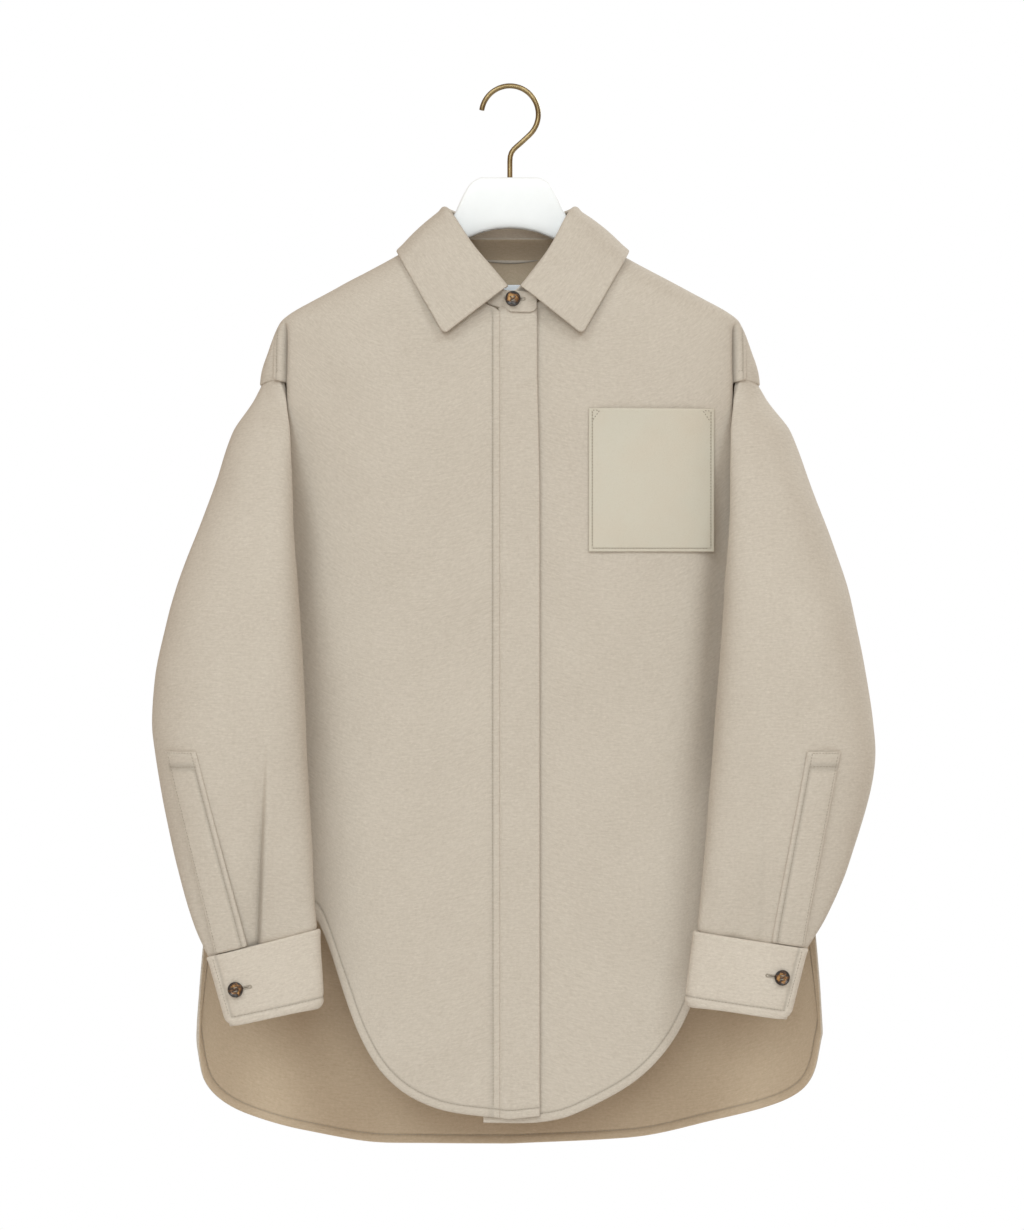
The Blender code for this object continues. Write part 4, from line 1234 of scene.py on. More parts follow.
@dataclass
class SleeveForm:
    """Sections of one sleeve, worked out on the right-hand side."""

    side: Side

    def section(self, turn: Array, z: Array) -> Array:
        """Points of a level section.

        Args:
            turn: degrees round it, from the outer edge by the front.
            z: heights of the section.

        Returns:
            The points, millimetres along the last axis.
        """
        turn, z = np.broadcast_arrays(np.asarray(turn, float), np.asarray(z, float))
        out, inn = SLEEVE.read(f"out_{self.side.value}", z), SLEEVE.read(f"in_{self.side.value}", z)
        c, s = np.cos(np.radians(turn)), np.sin(np.radians(turn))
        depth = np.where(s > 0, SLEEVE.read("front", z), SLEEVE.read("back", z))
        wide = np.sign(c) * np.abs(c) ** 0.9
        deep = np.sign(s) * np.abs(s) ** mix(np.where((s > 0) & (c < 0), 0.60, 1.0), 0.7,
                ease((-680 - z) / 120))
        return np.stack([(out + inn) / 2 + (out - inn) / 2 * wide,
                         SLEEVE.read("centre", z) + SLEEVE.read("lean", z) * c - depth * deep, z], -1)

    def cuff_line(self, x: Array) -> Array:
        """Height of the top of the cuff at a distance across."""
        if self.side is Side.LEFT:
            return mix(-792.0, -817.0, (x - 180.5) / 100.5)
        return mix(-794.0, -809.0, (x - 174.8) / 101.7)

    def lower(self, turn: Array, v: Array) -> Array:
        """Points of the lower sleeve, whose rows lean over to follow the cuff.

        Args:
            turn: degrees round it.
            v: share of the way down, 1 at the cuff.
        """
        end = self.section(turn, CUFF_TOP_Z)
        spot = self.section(turn, mix(SLEEVE_LOW, CUFF_TOP_Z, v))
        spot[..., 2] = mix(SLEEVE_LOW, self.cuff_line(end[..., 0]) + 0.4, v)
        return spot

    def turn_at(self, x: Array, level: Array) -> Array:
        """Degrees round the front of the sleeve at a distance across."""
        out, inn = SLEEVE.read(f"out_{self.side.value}", level), SLEEVE.read(f"in_{self.side.value}", level)
        wide = np.clip((x - (out + inn) / 2) / ((out - inn) / 2), -1, 1)
        return np.degrees(np.arccos(np.sign(wide) * np.abs(wide) ** (1 / 0.9)))


@dataclass
class Sleeve:
    """One sleeve, with the folds at its cuff and the strip sewn over its opening."""

    side: Side
    finishes: Wardrobe
    folds: tuple[Fold, ...]
    back_folds: tuple[Fold, ...]
    guide: tuple[Pair, ...]
    strip_outer: Pair
    strip_inner: Pair

    def rows(self) -> tuple[Array, Array]:
        """Heights of the level rows and shares of the leaning ones."""
        upper = np.concatenate([CROWN_Z + np.array((5, 1, -3, -8)), steps(-292, UNDERARM_Z, 6.5),
                                steps(-506, SLEEVE_LOW, 6.5)])
        lower = np.concatenate([np.linspace(0, 1, 29)[1:], [1.014, 1.03]])
        return upper, lower

    def angles(self, form: SleeveForm, first: float, last: float, level: float) -> Array:
        """Degrees of the columns, crowded at the pressed line down the front.

        Args:
            form: the sleeve's sections.
            first: degrees of the first column.
            last: degrees of the last one.
            level: height of the section.

        Returns:
            Degrees for all columns.
        """
        x = np.interp(-level, [-z for _, z in self.guide], [x for x, _ in self.guide])
        mid = float(form.turn_at(np.array(x + 1.5), np.array(level)))
        near = float(form.turn_at(np.array(x - 1.5), np.array(level)))
        mid, near = min(mid, first - 14), min(near, first - 8)
        return np.concatenate([np.linspace(first, near + 3, 22), np.linspace(near, mid, 3),
                               np.linspace(mid - 3, last, 34)])

    def build(self) -> None:
        """Shapes the sleeve and makes the piece."""
        form = SleeveForm(self.side)
        upper, lower = self.rows()
        lines = []
        for z in upper:
            turn = self.angles(form, float(SLEEVE.read("start", z)), float(SLEEVE.read("stop", z)), z)
            t = np.linspace(0, 1, len(turn))
            line = form.section(turn, z)
            if z > UNDERARM_Z - 1:
                low = min(max(z, UNDERARM_Z), ARMHOLE_TOP_Z)
                f0 = float(BODY.share(BODY.armhole.read("front", low), z))
                f1 = float(BODY.share(BODY.armhole.read("back", low), z, True))
                full = min(max(CROWN_Z - z, 0) / 45, 1.0) ** 0.8
                if full < 1:
                    seam = BODY.place(mix(f0, f1, t), z)
                    seam[:, 2] -= crown_dip(seam[:, 0]) * (1 - ease((CROWN_Z - z) / 40))
                    line = mix(seam, line, full)
                if full > 0:
                    pull0 = BODY.place(f0, z) - line[0] - [SEAM_LAP, 0, 0]
                    pull1 = BODY.place(f1, z) - line[-1]
                    line = (line + pull0 * np.stack([ease(1 - t * 7), ease(1 - t * 24), t * 0], -1)
                            + pull1 * ease(1 - (1 - t) * 6)[:, None])
                over = 3.0 * ease((-281 - z) / 14) * ease((z + 420) / 60)
                line[:, 0] -= over * np.exp(-((t - 0.07) / 0.05) ** 2)
                line[:, 1] += crease_depth(z) * ease(1 - t * 14)
            else:
                pull = (BODY.place(1.0, UNDERARM_Z) - line[0]) * [1, 1, 0] * ease((z + 610) / 105)
                line += pull * (ease(1 - t * 7) + ease(1 - (1 - t) * 6))[:, None]
            lines.append(line)
        for v in lower:
            level = mix(SLEEVE_LOW, CUFF_TOP_Z, min(v, 1.0))
            line = form.lower(self.angles(form, 275.0, -85.0, level), np.array(v))
            if v > 1:
                line[:, 1] += (CUFF_Y - line[:, 1]) * 0.22
                line[:, 0] += ((line[:, 0].max() + line[:, 0].min()) / 2 - line[:, 0]) * 0.05
            lines.append(line)
        points = np.array(lines)
        x, y, z = points[..., 0], points[..., 1], points[..., 2]
        ahead = ease((SLEEVE.read("centre", z) - y) / 8 + 0.3)
        lift = soft_waves(points, 1.1, 60.0 + self.side.sign) * ease((CROWN_Z - 10 - z) / 60)
        for fold in self.folds:
            lift += fold.lift(x, z) * ahead
        for fold in self.back_folds:
            lift += fold.lift(x, z) * (1 - ahead)
        lift = np.minimum(lift, 0.8 + 6 * ease((z - form.cuff_line(x)) / 16))
        level = np.concatenate([upper, np.full(len(lower), SLEEVE_LOW)])
        lift -= 1.8 * (1 - ease((CROWN_Z - level) / 7))[:, None]
        ply = np.full(x.shape, CLOTH)
        line = np.interp(-z, [-z for _, z in self.guide], [x for x, _ in self.guide])
        # Painted shade in the hollow beside the pleat, strong on the left sleeve, faint on the right.
        press_and_shade = np.exp(-((x - line - 1.0) / 2.2) ** 2) * ahead * ease((-640 - z) / 110)
        press_and_shade *= 1.3 if self.side is Side.LEFT else 0.2
        cloth = Cloth(f"sleeve_{self.side.value}_wool", points, ply, weld=True, press_and_shade=press_and_shade)
        centre = np.stack([(x.max(1) + x.min(1)) / 2, SLEEVE.read("centre", z.mean(1)), z.mean(1)], -1)[:,
                None]
        out = points - centre
        out[..., 2] = 0
        cloth.lifted(lift, out)
        cloth.points[..., 0] *= self.side.sign
        cloth.build(self.finishes.wool, f"sleeve_{self.side.value}", "wool", (f"front_{self.side.value}",))
        self.build_strip(form)

    def build_strip(self, form: SleeveForm) -> None:
        """Makes the strip over the sleeve's opening and sews it down.

        Args:
            form: the sleeve's sections.
        """
        sign = self.side.sign
        shares = np.array((0.0, 0.04, 0.12, 0.24, 0.38, 0.52, 0.66, 0.78, 0.86, 0.93, 1.0))
        rows = []
        for v in np.concatenate([[0.0, 0.008, 0.024], np.linspace(0.045, 1.0, 30)]):
            level = mix(SLEEVE_LOW, CUFF_TOP_Z, v)
            a = form.turn_at(np.array(mix(*self.strip_outer, v)), np.array(level))
            b = form.turn_at(np.array(mix(*self.strip_inner, v)), np.array(level))
            rows.append(form.lower(mix(a, b, shares), np.array(v)))
        points = np.array(rows)
        sides = np.interp(shares, (0, 0.04, 0.12, 0.2, 0.78, 0.86, 0.93, 1.0),
                          (2.2, 3.0, 3.2, 2.7, 2.7, 1.3, 3.6, 2.4))
        ply = np.tile(sides, (len(points), 1))
        ply[0], ply[1:3], ply[4] = 2.2, np.maximum(ply[1:3], 3.4), 1.4
        # Darker along the strip's stitch lines: pressing, and painted shade of their grooves.
        press_and_shade = np.zeros(ply.shape)
        press_and_shade[4:, 8] = press_and_shade[4, :8] = 1.0
        cloth = Cloth(f"sleeve_placket_{self.side.value}_wool", points, ply, press_and_shade=press_and_shade)
        cloth.lifted(np.broadcast_to(2.2 + ease(np.minimum(shares, 1 - shares) / 0.3), ply.shape), AHEAD)
        cloth.points[..., 0] *= sign
        node = f"sleeve_placket_{self.side.value}"
        piece = cloth.build(self.finishes.wool, node, "wool", (f"sleeve_{self.side.value}",))
        grid = cloth.points
        lines = [Line(run, AHEAD) for run in (grid[1:, 8], (grid[2:, 1] + grid[2:, 2]) * 0.5, grid[4, 1:-1],
                grid[1, 1:-1])]
        Sewing(self.finishes.thread).sew(f"{node}_stitches", piece, lines)


@dataclass
class Cuff:
    """One cuff, a strip wrapped round with its buttoned end outside."""

    side: Side
    finishes: Wardrobe
    top_outer: Pair
    top_inner: Pair
    low_outer: Pair
    low_inner: Pair
    corner: float = 11.0

    def point(self, turn: float, down: float, tuck: float = 0.0) -> Array:
        """A point of the cuff's middle surface.

        Args:
            turn: degrees round it, from the outer edge by the front.
            down: share of the way from the top edge to the bottom.
            tuck: how far inside the outer layer.

        Returns:
            The point in millimetres, on the right-hand side.
        """
        a = mix(np.array(self.top_outer), np.array(self.low_outer), down)
        b = mix(np.array(self.top_inner), np.array(self.low_inner), down)
        mid, half = (a + b) / 2, (a - b) / 2 * (1 - tuck / 50)
        c, s = math.cos(math.radians(turn)), math.sin(math.radians(turn))
        near = max(1 - (1 - down) * 11.0, 0.0) if c < 0 else 0.0
        spot = mid + half * math.copysign(abs(c) ** 0.9, c) * (1 - 0.12 * (1 - math.sqrt(1 - near**2)))
        return np.array([spot[0], CUFF_Y - math.copysign(abs(s) ** 0.7, s) * (12 - tuck), spot[1]])

    def build(self) -> None:
        """Shapes the strip, rounds its corner and sews its edges."""
        turns = np.concatenate([[14.0, 14.8, 17, 20, 22.2, 24.5, 28, 32, 36], np.linspace(41, 139, 20),
                                np.linspace(146, 214, 16),
                                np.linspace(222, 318, 18), np.linspace(324, 384, 18), np.linspace(390, 418,
                                        8)])
        height = 66.0
        edge = np.concatenate([[0, 0.02, 0.05], np.linspace(0.1, 1 - 18 / height, 10), 1
                               - np.array(HEM_STEPS[::-1]) / height])
        run = travelled(np.array([self.point(t, 0.5) for t in turns]))
        lost = np.where(run < self.corner, self.corner
                        - np.sqrt(np.maximum(self.corner**2 - (self.corner - run) ** 2, 0)), 0) / height
        points = np.array([[self.point(t, d * (1 - lost[k]), 3.2 * float(ease((t - CUFF_UNDER - 2) / 40)))
                            for k, t in enumerate(turns)]
                           for d in edge])
        down = np.broadcast_to(((1 - edge) * height)[:, None], points.shape[:2])
        side = np.broadcast_to(run, points.shape[:2])
        ply = CUFF_PLY.read("t", np.minimum(down, side))
        ply[0], ply[1], ply[2] = 2.6, 3.9, 4.2
        ply = np.where(turns > CUFF_UNDER + 10, np.minimum(ply, 2.4), ply)
        # Darker along the cuff's stitch lines: pressing, and painted shade of their grooves.
        cloth = Cloth(f"cuff_{self.side.value}_wool", points, ply, press_and_shade=stitched(np.minimum(down, side))
                      * (turns < CUFF_UNDER))
        lift = soft_waves(points, 0.9, 80.0 + self.side.sign) * (turns < CUFF_UNDER) * ease(side / 20)
        lift += (1.4 + 0.9 * ease(side / 14) * ease(down / 14)) * ease((CUFF_UNDER + 10 - turns) / 30)
        centre = np.array([(self.top_outer[0] + self.top_inner[0]) / 2, CUFF_Y, 0])
        out = points - centre
        out[..., 2] = 0
        cloth.lifted(lift, out)
        cloth.points[..., 0] *= self.side.sign
        self.piece = cloth.build(self.finishes.wool_light, f"cuff_{self.side.value}", "wool_light",
                                 (f"sleeve_{self.side.value}",))
        row, column = len(edge) - 1 - HEM_STEPS.index(HEM_BAND), int(np.argmin(np.abs(run - HEM_BAND)))
        shown = int(np.argmax(turns > CUFF_UNDER - 2))
        out = out * [self.side.sign, 1, 1]
        lines = [Line(cloth.points[row, column:shown], out[row, column:shown]),
                 Line(cloth.points[2:row + 1, column], out[2:row + 1, column])]
        Sewing(self.finishes.thread).sew(f"cuff_{self.side.value}_stitches", self.piece, lines)


COLLAR = Table("a", dict(
    a=(0.0, 0.2, 0.38, 0.5, 0.62, 0.8, 1.0),
    top_x=(0, 28, 51, 58.5, 56.5, 39, 6), top_y=(33, 29, 15, -1, -17, -35, -45),
    top_z=(-127, -125.5, -121, -118.5, -122, -153, -195),
    edge_x=(0, 46, 90, 107, 102, 86, 62), edge_z=(-190, -183, -162, -156, -166, -195, -237),
    edge_y=(37, 35, 26.5, 1, -26, -42, -51)))


@dataclass
class Collar:
    """Collar stand with its buttoned tab, and the fall that rolls over it."""

    finishes: Wardrobe

    @staticmethod
    def line(name: str, a: float) -> Array:
        """Point of one of the collar's lines, from the centre back (0) to the front (1)."""
        return np.array([float(COLLAR.read(f"{name}_{axis}", a)) for axis in "xyz"])

    @staticmethod
    def neckline(a: float) -> Array:
        """Point where the stand meets the neckline.

        Args:
            a: share of the way from the centre back (0) to the front (1).
        """
        back = a < 0.5
        low = NECK_BACK_Z if back else NECK_FRONT_Z
        z = low + (NECK_TOP_Z - low) * (1 - math.cos((a if back else 1 - a) * math.pi))
        if a >= 0.98:
            return np.array([4.0, float(BODY.place(0.03, NECK_FRONT_Z)[1]), NECK_FRONT_Z])
        spot = BODY.place(BODY.share(BODY.neck(z, back), z, back), z)
        if 0.42 < a < 0.58:
            spot[1] *= float(ease(abs(a - 0.5) / 0.08))
            spot[2] += 1.5
        return spot

    def stand(self) -> None:
        """Shapes the stand: the rounded tab, round the neck, to the end that lies under it."""
        path = [("tab", x) for x in (25.5, 25.0, 23.5, 21.0, 18, 14.5, 11, 7, 3, 0)]
        around = np.concatenate([np.linspace(1.0, 0.58, 18), np.linspace(0.55, 0.42, 6),
                                 np.linspace(0.38, 0.04, 12)])
        path += [("left", a) for a in around] + [("mid", 0.0)] + [("right", a) for a in around[::-1]]
        path += [("under", x) for x in (2, -2, -6)]
        rows = []
        for kind, at in path:
            if kind in ("tab", "under"):
                behind = UNDER_SLIP if kind == "under" else 0.0
                foot, top = self.neckline(1.0) + [0, behind, 0], self.line("top", 1.0) + [0, behind, 0]
                foot[0] = top[0] = at
                if kind == "tab":
                    lost = float(np.interp(at, (17, 21, 23.5, 25.0, 25.5), (0, 0.05, 0.13, 0.24, 0.30)))
                    foot, top = mix(foot, top, lost), mix(top, foot, lost)
                    top[2] -= (at + 6) * 0.04
                    foot[2] -= (at + 6) * 0.05
                    foot[1] -= 2.6
                    foot[2] -= 2.8
                    top[1] -= 0.8
            else:
                foot, top = self.neckline(at), self.line("top", at)
                inward = np.array([-foot[0], -foot[1] * 0.8, 0])
                foot = foot + inward / max(np.linalg.norm(inward), 1) * 1.8 * (1.0 if at < 0.5
                        else math.sin(math.pi * at) ** 0.5)
                if kind == "left":
                    foot[0], top[0] = -foot[0], -top[0]
                if kind == "right" and at > 0.6:
                    slip = UNDER_SLIP * float(ease((58 - foot[0]) / 30))
                    foot[1] += slip
                    top[1] += slip
            foot = foot + [0, 0, 0.6]
            rows.append([mix(foot, top, v) for v in (0, 0.06, 0.2, 0.4, 0.6, 0.8, 0.94, 1.0)])
        points = np.array(rows).transpose(1, 0, 2)
        ply = np.full(points.shape[:2], 2.2)
        tab = np.arange(points.shape[1]) < 10
        ply[:, tab] = np.interp(np.arange(8), (0, 1, 2, 5, 6, 7), (2.4, 3.8, 3.2, 3.0, 3.6, 2.4))[:, None]
        ply[:, 0], ply[:, 1] = 1.8, 2.6
        # Painted shadow: a dark line along the stand's foot, where it meets the neckline.
        press_and_shade = np.zeros(ply.shape)
        press_and_shade[0] = 1.0
        cloth = Cloth("collar_stand_wool", points, ply, press_and_shade=press_and_shade)
        self.piece = cloth.build(self.finishes.wool, "collar_stand", "wool_light", ("hanger",))

    def fall(self) -> None:
        """Shapes the fall: over the top of the stand and down outside it, to its points."""
        marks = np.concatenate([[1.0, 0.998, 0.9945, 0.989, 0.982, 0.973, 0.963],
                                np.linspace(0.945, 0.66, 13), np.linspace(0.64, 0.36, 18),
                                np.linspace(0.34, 0.03, 12)])
        marks = np.concatenate([-marks, [0.0], marks[::-1]])
        rows = []
        for m in marks:
            a, sign = abs(float(m)), -1 if m < 0 else 1
            top, edge = self.line("top", a), self.line("edge", a)
            step = self.line("top", min(a + 0.03, 1.0)) - self.line("top", max(a - 0.03, 0.0))
            step = np.array([1.0, 0, 0]) if a < 0.01 else step
            out = unit(np.array([-step[1], step[0], 0.0]))
            out = -out if out[0] * top[0] + out[1] * top[1] < 0 else out
            out = unit(out + np.array([0, -2.0, 0]) * float(ease((a - 0.85) / 0.15)))
            up = unit(np.cross(step, out))
            up = up if up[2] > 0 else -up
            if sign > 0:
                top[0] += 8 * float(ease((a - 0.6) / 0.4))
                edge[0] += 6 * float(ease(a / 0.6))
            ring = [top + up * 2.1, top + out * 0.9 + up * 4.3, top + out * 3.4 + up * 5.6, top + out * 6.2
                    + up * 4.4,
                    top + out * 7.6 + up * 1.2]
            length = float(np.linalg.norm(edge - ring[4]))
            edge = mix(edge, ring[4], (5.0 - math.sqrt(25 - max(5 - (1 - a) * 245, 0) ** 2)) / length)
            length = float(np.linalg.norm(edge - ring[4]))
            shares = np.concatenate([np.linspace(0.08, 1 - 9 / length, 9), 1
                                     - np.array((5.5, 3.0, 1.1, 0.0)) / length])
            for v in shares:
                bulge = 20.0 * v * (1 - v) * (1 - 0.5 * a)
                ring.append(mix(ring[4], edge, v) + out * bulge * 0.5 + up * bulge * 0.3)
            rows.append([p * [sign, 1, 1] for p in ring])
        points = np.array(rows).transpose(1, 0, 2)
        count = points.shape[0]
        ply = np.full(points.shape[:2], 2.3)
        ply[count - 5:] = np.array((2.4, 3.4, 4.2, 3.9, 2.4))[:, None]
        for k, t in enumerate((2.4, 3.2, 4.0, 4.2, 3.6, 3.0, 2.6)):
            ply[5:, k] = np.maximum(ply[5:, k], t) if k > 1 else t
            ply[5:, -1 - k] = ply[5:, k]
        ply[-1] = 2.4
        cloth = Cloth("collar_fall_wool", points, ply)
        lift = soft_waves(points, 0.9, 90.0)
        lift[:6] = 0
        cloth.lifted(lift * 0.7, unit(np.stack([points[..., 0], points[..., 1], points[..., 1] * 0], -1)))
        cloth.build(self.finishes.wool, "collar_fall", "wool_light", ("collar_stand",))

    def label(self) -> None:
        """Makes the bare label under the back neck seam."""
        x, z = np.meshgrid(steps(-9.5, 21, 2.5), steps(-184, -204, 2.5))
        f = 2 - BODY.share(x, z)
        points = BODY.place(np.where(x < 0, -f, f), z)
        cloth = Cloth("neck_label_satin", points, np.full(x.shape, 0.8))
        cloth.lifted(np.full(x.shape, 1.9), AHEAD)
        piece = cloth.build(self.finishes.ribbon, "neck_label", "label_cloth", ("back",))
        tacks = [Line(cloth.points[1:-1, k], AHEAD) for k in (1, -2)]
        Sewing(self.finishes.ribbon, 2.4, 1.8, 0.22).sew("neck_label_stitches", piece, tacks)


@dataclass
class PatchPocket:
    """Leather patch pocket, edge stitched, with bar tacks at its mouth."""

    finishes: Wardrobe
    x: Pair = (74.0, 192.0)
    z: Pair = (-305.7, -440.6)

    def build(self) -> None:
        """Shapes the leather over the front and sews it."""
        edge = np.array((0.0, 0.7, 2.4, 3.3, 4.3, 8.0))
        xs = np.concatenate([self.x[0] + edge, steps(self.x[0] + 14, self.x[1] - 14, 6), self.x[1]
                             - edge[::-1]])
        zs = np.concatenate([self.z[0] - edge, steps(self.z[0] - 14, self.z[1] + 14, 6), self.z[1]
                             + edge[::-1]])
        x, z = np.meshgrid(xs, zs)
        points = BODY.place(BODY.share(x, z), z)
        to_edge = np.minimum(np.minimum(x - self.x[0], self.x[1] - x), z - self.z[1])
        ply = np.interp(np.minimum(to_edge, self.z[0] - z), (0, 0.7, 2.4, 3.3, 4.3, 8),
                        (0.9, 1.5, 1.6, 1.1, 1.5, 1.4))
        ply = np.where(to_edge > self.z[0] - z + 0.1,
                       np.interp(self.z[0] - z, (0, 0.7, 2.4, 8), (1.2, 2.0, 2.0, 1.7)), ply)
        # Darker along the stitch line: pressed leather, and painted shade of its groove.
        cloth = Cloth("pocket_leather", points, ply, press_and_shade=stitched(to_edge, 3.3, 1.0)
                      * (to_edge < self.z[0] - z + 0.1))
        lift = 2.2 + 0.9 * ease(to_edge / 25) + 0.5 * np.sin(x / 23.0) * np.sin(z / 31.0) * ease(to_edge / 20)
        lift += 1.2 * ease((z - self.z[0] + 30) / 30) * ease(to_edge / 12)
        cloth.lifted(lift, AHEAD)
        piece = cloth.build(self.finishes.hide, "pocket", "leather", ("front_right",))
        grid = cloth.points
        lines = [Line(run, AHEAD) for run in (grid[2:-3, 3], grid[2:-3, -4], grid[-4, 3:-3])]
        x0, x1, top = self.x[0] + 3.3, self.x[1] - 3.3, self.z[0] - 2.0
        for corner, inward in ((x0, 7), (x1, -7)):
            for start, end, drop in ((corner, corner + inward, 0), (corner + inward, corner, 10)):
                px, pz = np.linspace(start, end, 6), np.linspace(top, top - drop, 6)
                lines.append(Line(np.stack([px, BODY.front_y(px, pz) - 3, pz], -1), AHEAD))
        Sewing(self.finishes.pale_thread, 2.9, 1.8, 0.36).sew("pocket_stitches", piece, lines)


@dataclass
class Button:
    """Four-hole button with its thread and its worked buttonhole."""

    name: str
    finishes: Wardrobe
    host: bpy.types.Object
    centre: Triple
    axis: Triple
    hole_way: Triple
    hole_shift: float
    radius: float = 7.3
    thick: float = 3.2

    def pose(self) -> Matrix:
        """Turns the button's own axes to where it is sewn."""
        up = Vector(self.axis).normalized()
        turn = Vector((0, 0, 1)).rotation_difference(up).to_matrix().to_4x4()
        return Matrix.Scale(MM, 4) @ Matrix.Translation(Vector(self.centre)) @ turn

    def seat(self) -> None:
        """Lays the button's back on the cloth below it."""
        skin = skin_of(self.host)
        up = Vector(self.axis).normalized()
        side = up.cross(Vector((0, 0, 1))).normalized()
        ring = [Matrix.Rotation(k * math.tau / 8, 3, up) @ side * self.radius * 0.8 for k in range(8)]
        hits = [skin.ray_cast((Vector(self.centre) + step + up * 12) * MM, -up, 0.03)[0] / MM
                for step in ring]
        normal = (hits[0] - hits[4]).cross(hits[2] - hits[6]).normalized()
        normal = normal if normal.dot(up) > 0 else -normal
        middle = sum(hits, Vector()) / len(hits)
        self.axis = tuple(normal)
        self.centre = tuple(middle + normal * (max((hit - middle).dot(normal) for hit in hits) + 0.2))

    def build(self) -> None:
        """Turns the button, drills it, threads it and works the buttonhole."""
        rings = ((0.0, 0.62), (0.55, 0.62), (0.66, 0.66), (0.75, 0.84), (0.82, 0.96), (0.89, 1.0),
                 (0.95, 0.88), (1.0, 0.55),
                 (0.96, 0.14), (0.86, 0.0), (0.0, 0.0))
        bm = bmesh.new()
        line = [bm.verts.new((r * self.radius, 0, h * self.thick)) for r, h in rings]
        edges = [bm.edges.new(pair) for pair in zip(line, line[1:])]
        bmesh.ops.spin(bm, geom=line + edges, cent=(0, 0, 0), axis=(0, 0, 1), angle=math.tau, steps=40,
                       use_merge=True)
        bmesh.ops.remove_doubles(bm, verts=bm.verts, dist=0.002)
        bmesh.ops.recalc_face_normals(bm, faces=bm.faces)
        rim = bm.verts.layers.float.new("rim")
        for vert in bm.verts:
            vert[rim] = math.hypot(vert.co.x, vert.co.y) / self.radius
        bm.transform(self.pose())
        made = finished(self.name + "_horn", bm, self.finishes.horn, self.name)
        spots = [Vector((x, y, 0)) for x in (-1.7, 1.7) for y in (-1.7, 1.7)]
        drill = bmesh.new()
        for spot in spots:
            bmesh.ops.create_cone(drill, cap_ends=True, segments=14, radius1=0.85, radius2=0.85, depth=12,
                                  matrix=self.pose() @ Matrix.Translation(spot))
        mesh = bpy.data.meshes.new("drill")
        drill.to_mesh(mesh)
        drill.free()
        tool = bpy.data.objects.new("drill", mesh)
        bpy.context.scene.collection.objects.link(tool)
        cut = made.modifiers.new("holes", "BOOLEAN")
        cut.operation, cut.solver, cut.object = "DIFFERENCE", "EXACT", tool
        bpy.context.view_layer.update()
        drilled = bpy.data.meshes.new_from_object(made.evaluated_get(bpy.context.evaluated_depsgraph_get()))
        made.modifiers.clear()
        made.data = drilled
        bpy.data.objects.remove(tool)
        thread = bmesh.new()
        for y in (-1.7, 1.7):
            for shift, rise, turn, long, wide in ((0.0, 0.52, 0.0, 2.2, 0.42), (0.3, 0.56, 0.12, 2.1, 0.34)):
                bar = Matrix.Translation((0, y + shift, rise * self.thick)) @ Matrix.Rotation(turn, 4, "Z")
                bmesh.ops.create_uvsphere(thread, u_segments=8, v_segments=6, radius=1.0,
                                          matrix=self.pose() @ bar @ Matrix.Diagonal((long, wide, wide, 1)))
        finished(self.name + "_thread", thread, self.finishes.thread, None)
        self.buttonhole()

    def buttonhole(self) -> None:
        """Works the buttonhole: close stitches on the cloth round a slit, a dark sheet painted as the shade in its
        opening.
        """
        skin = skin_of(self.host)
        way = Vector(self.hole_way).normalized()
        up = Vector(self.axis).normalized()
        middle = Vector(self.centre) + way * self.hole_shift
        half, wide, pitch = 8.5, 1.15, 0.85
        across = up.cross(way).normalized()
        bound, slit = bmesh.new(), bmesh.new()
        rim = [(t, s) for s in (-1, 1) for t in np.arange(-half, half + 0.1, pitch)]
        for t, s in rim:
            spot = middle + way * float(t) + across * wide * s
            lay_stitch(skin, bound, spot, up, across, (0.95, 0.36, 0.34))
        for turn in np.linspace(-80, 80, 7):
            for end in (-1, 1):
                swing = way * end * math.cos(math.radians(turn)) + across * math.sin(math.radians(turn))
                spot = middle + way * (half * end) + swing * wide
                lay_stitch(skin, bound, spot, up, swing, (0.9, 0.36, 0.34))
        # A dark sheet along the slit: painted shade of the opening.
        lay_stitch(skin, slit, middle, up, way, (half, 0.42, 0.3))
        finished(self.name + "_buttonhole", bound, self.finishes.thread, None)
        finished(self.name + "_slit", slit, self.finishes.slit_shade, None)


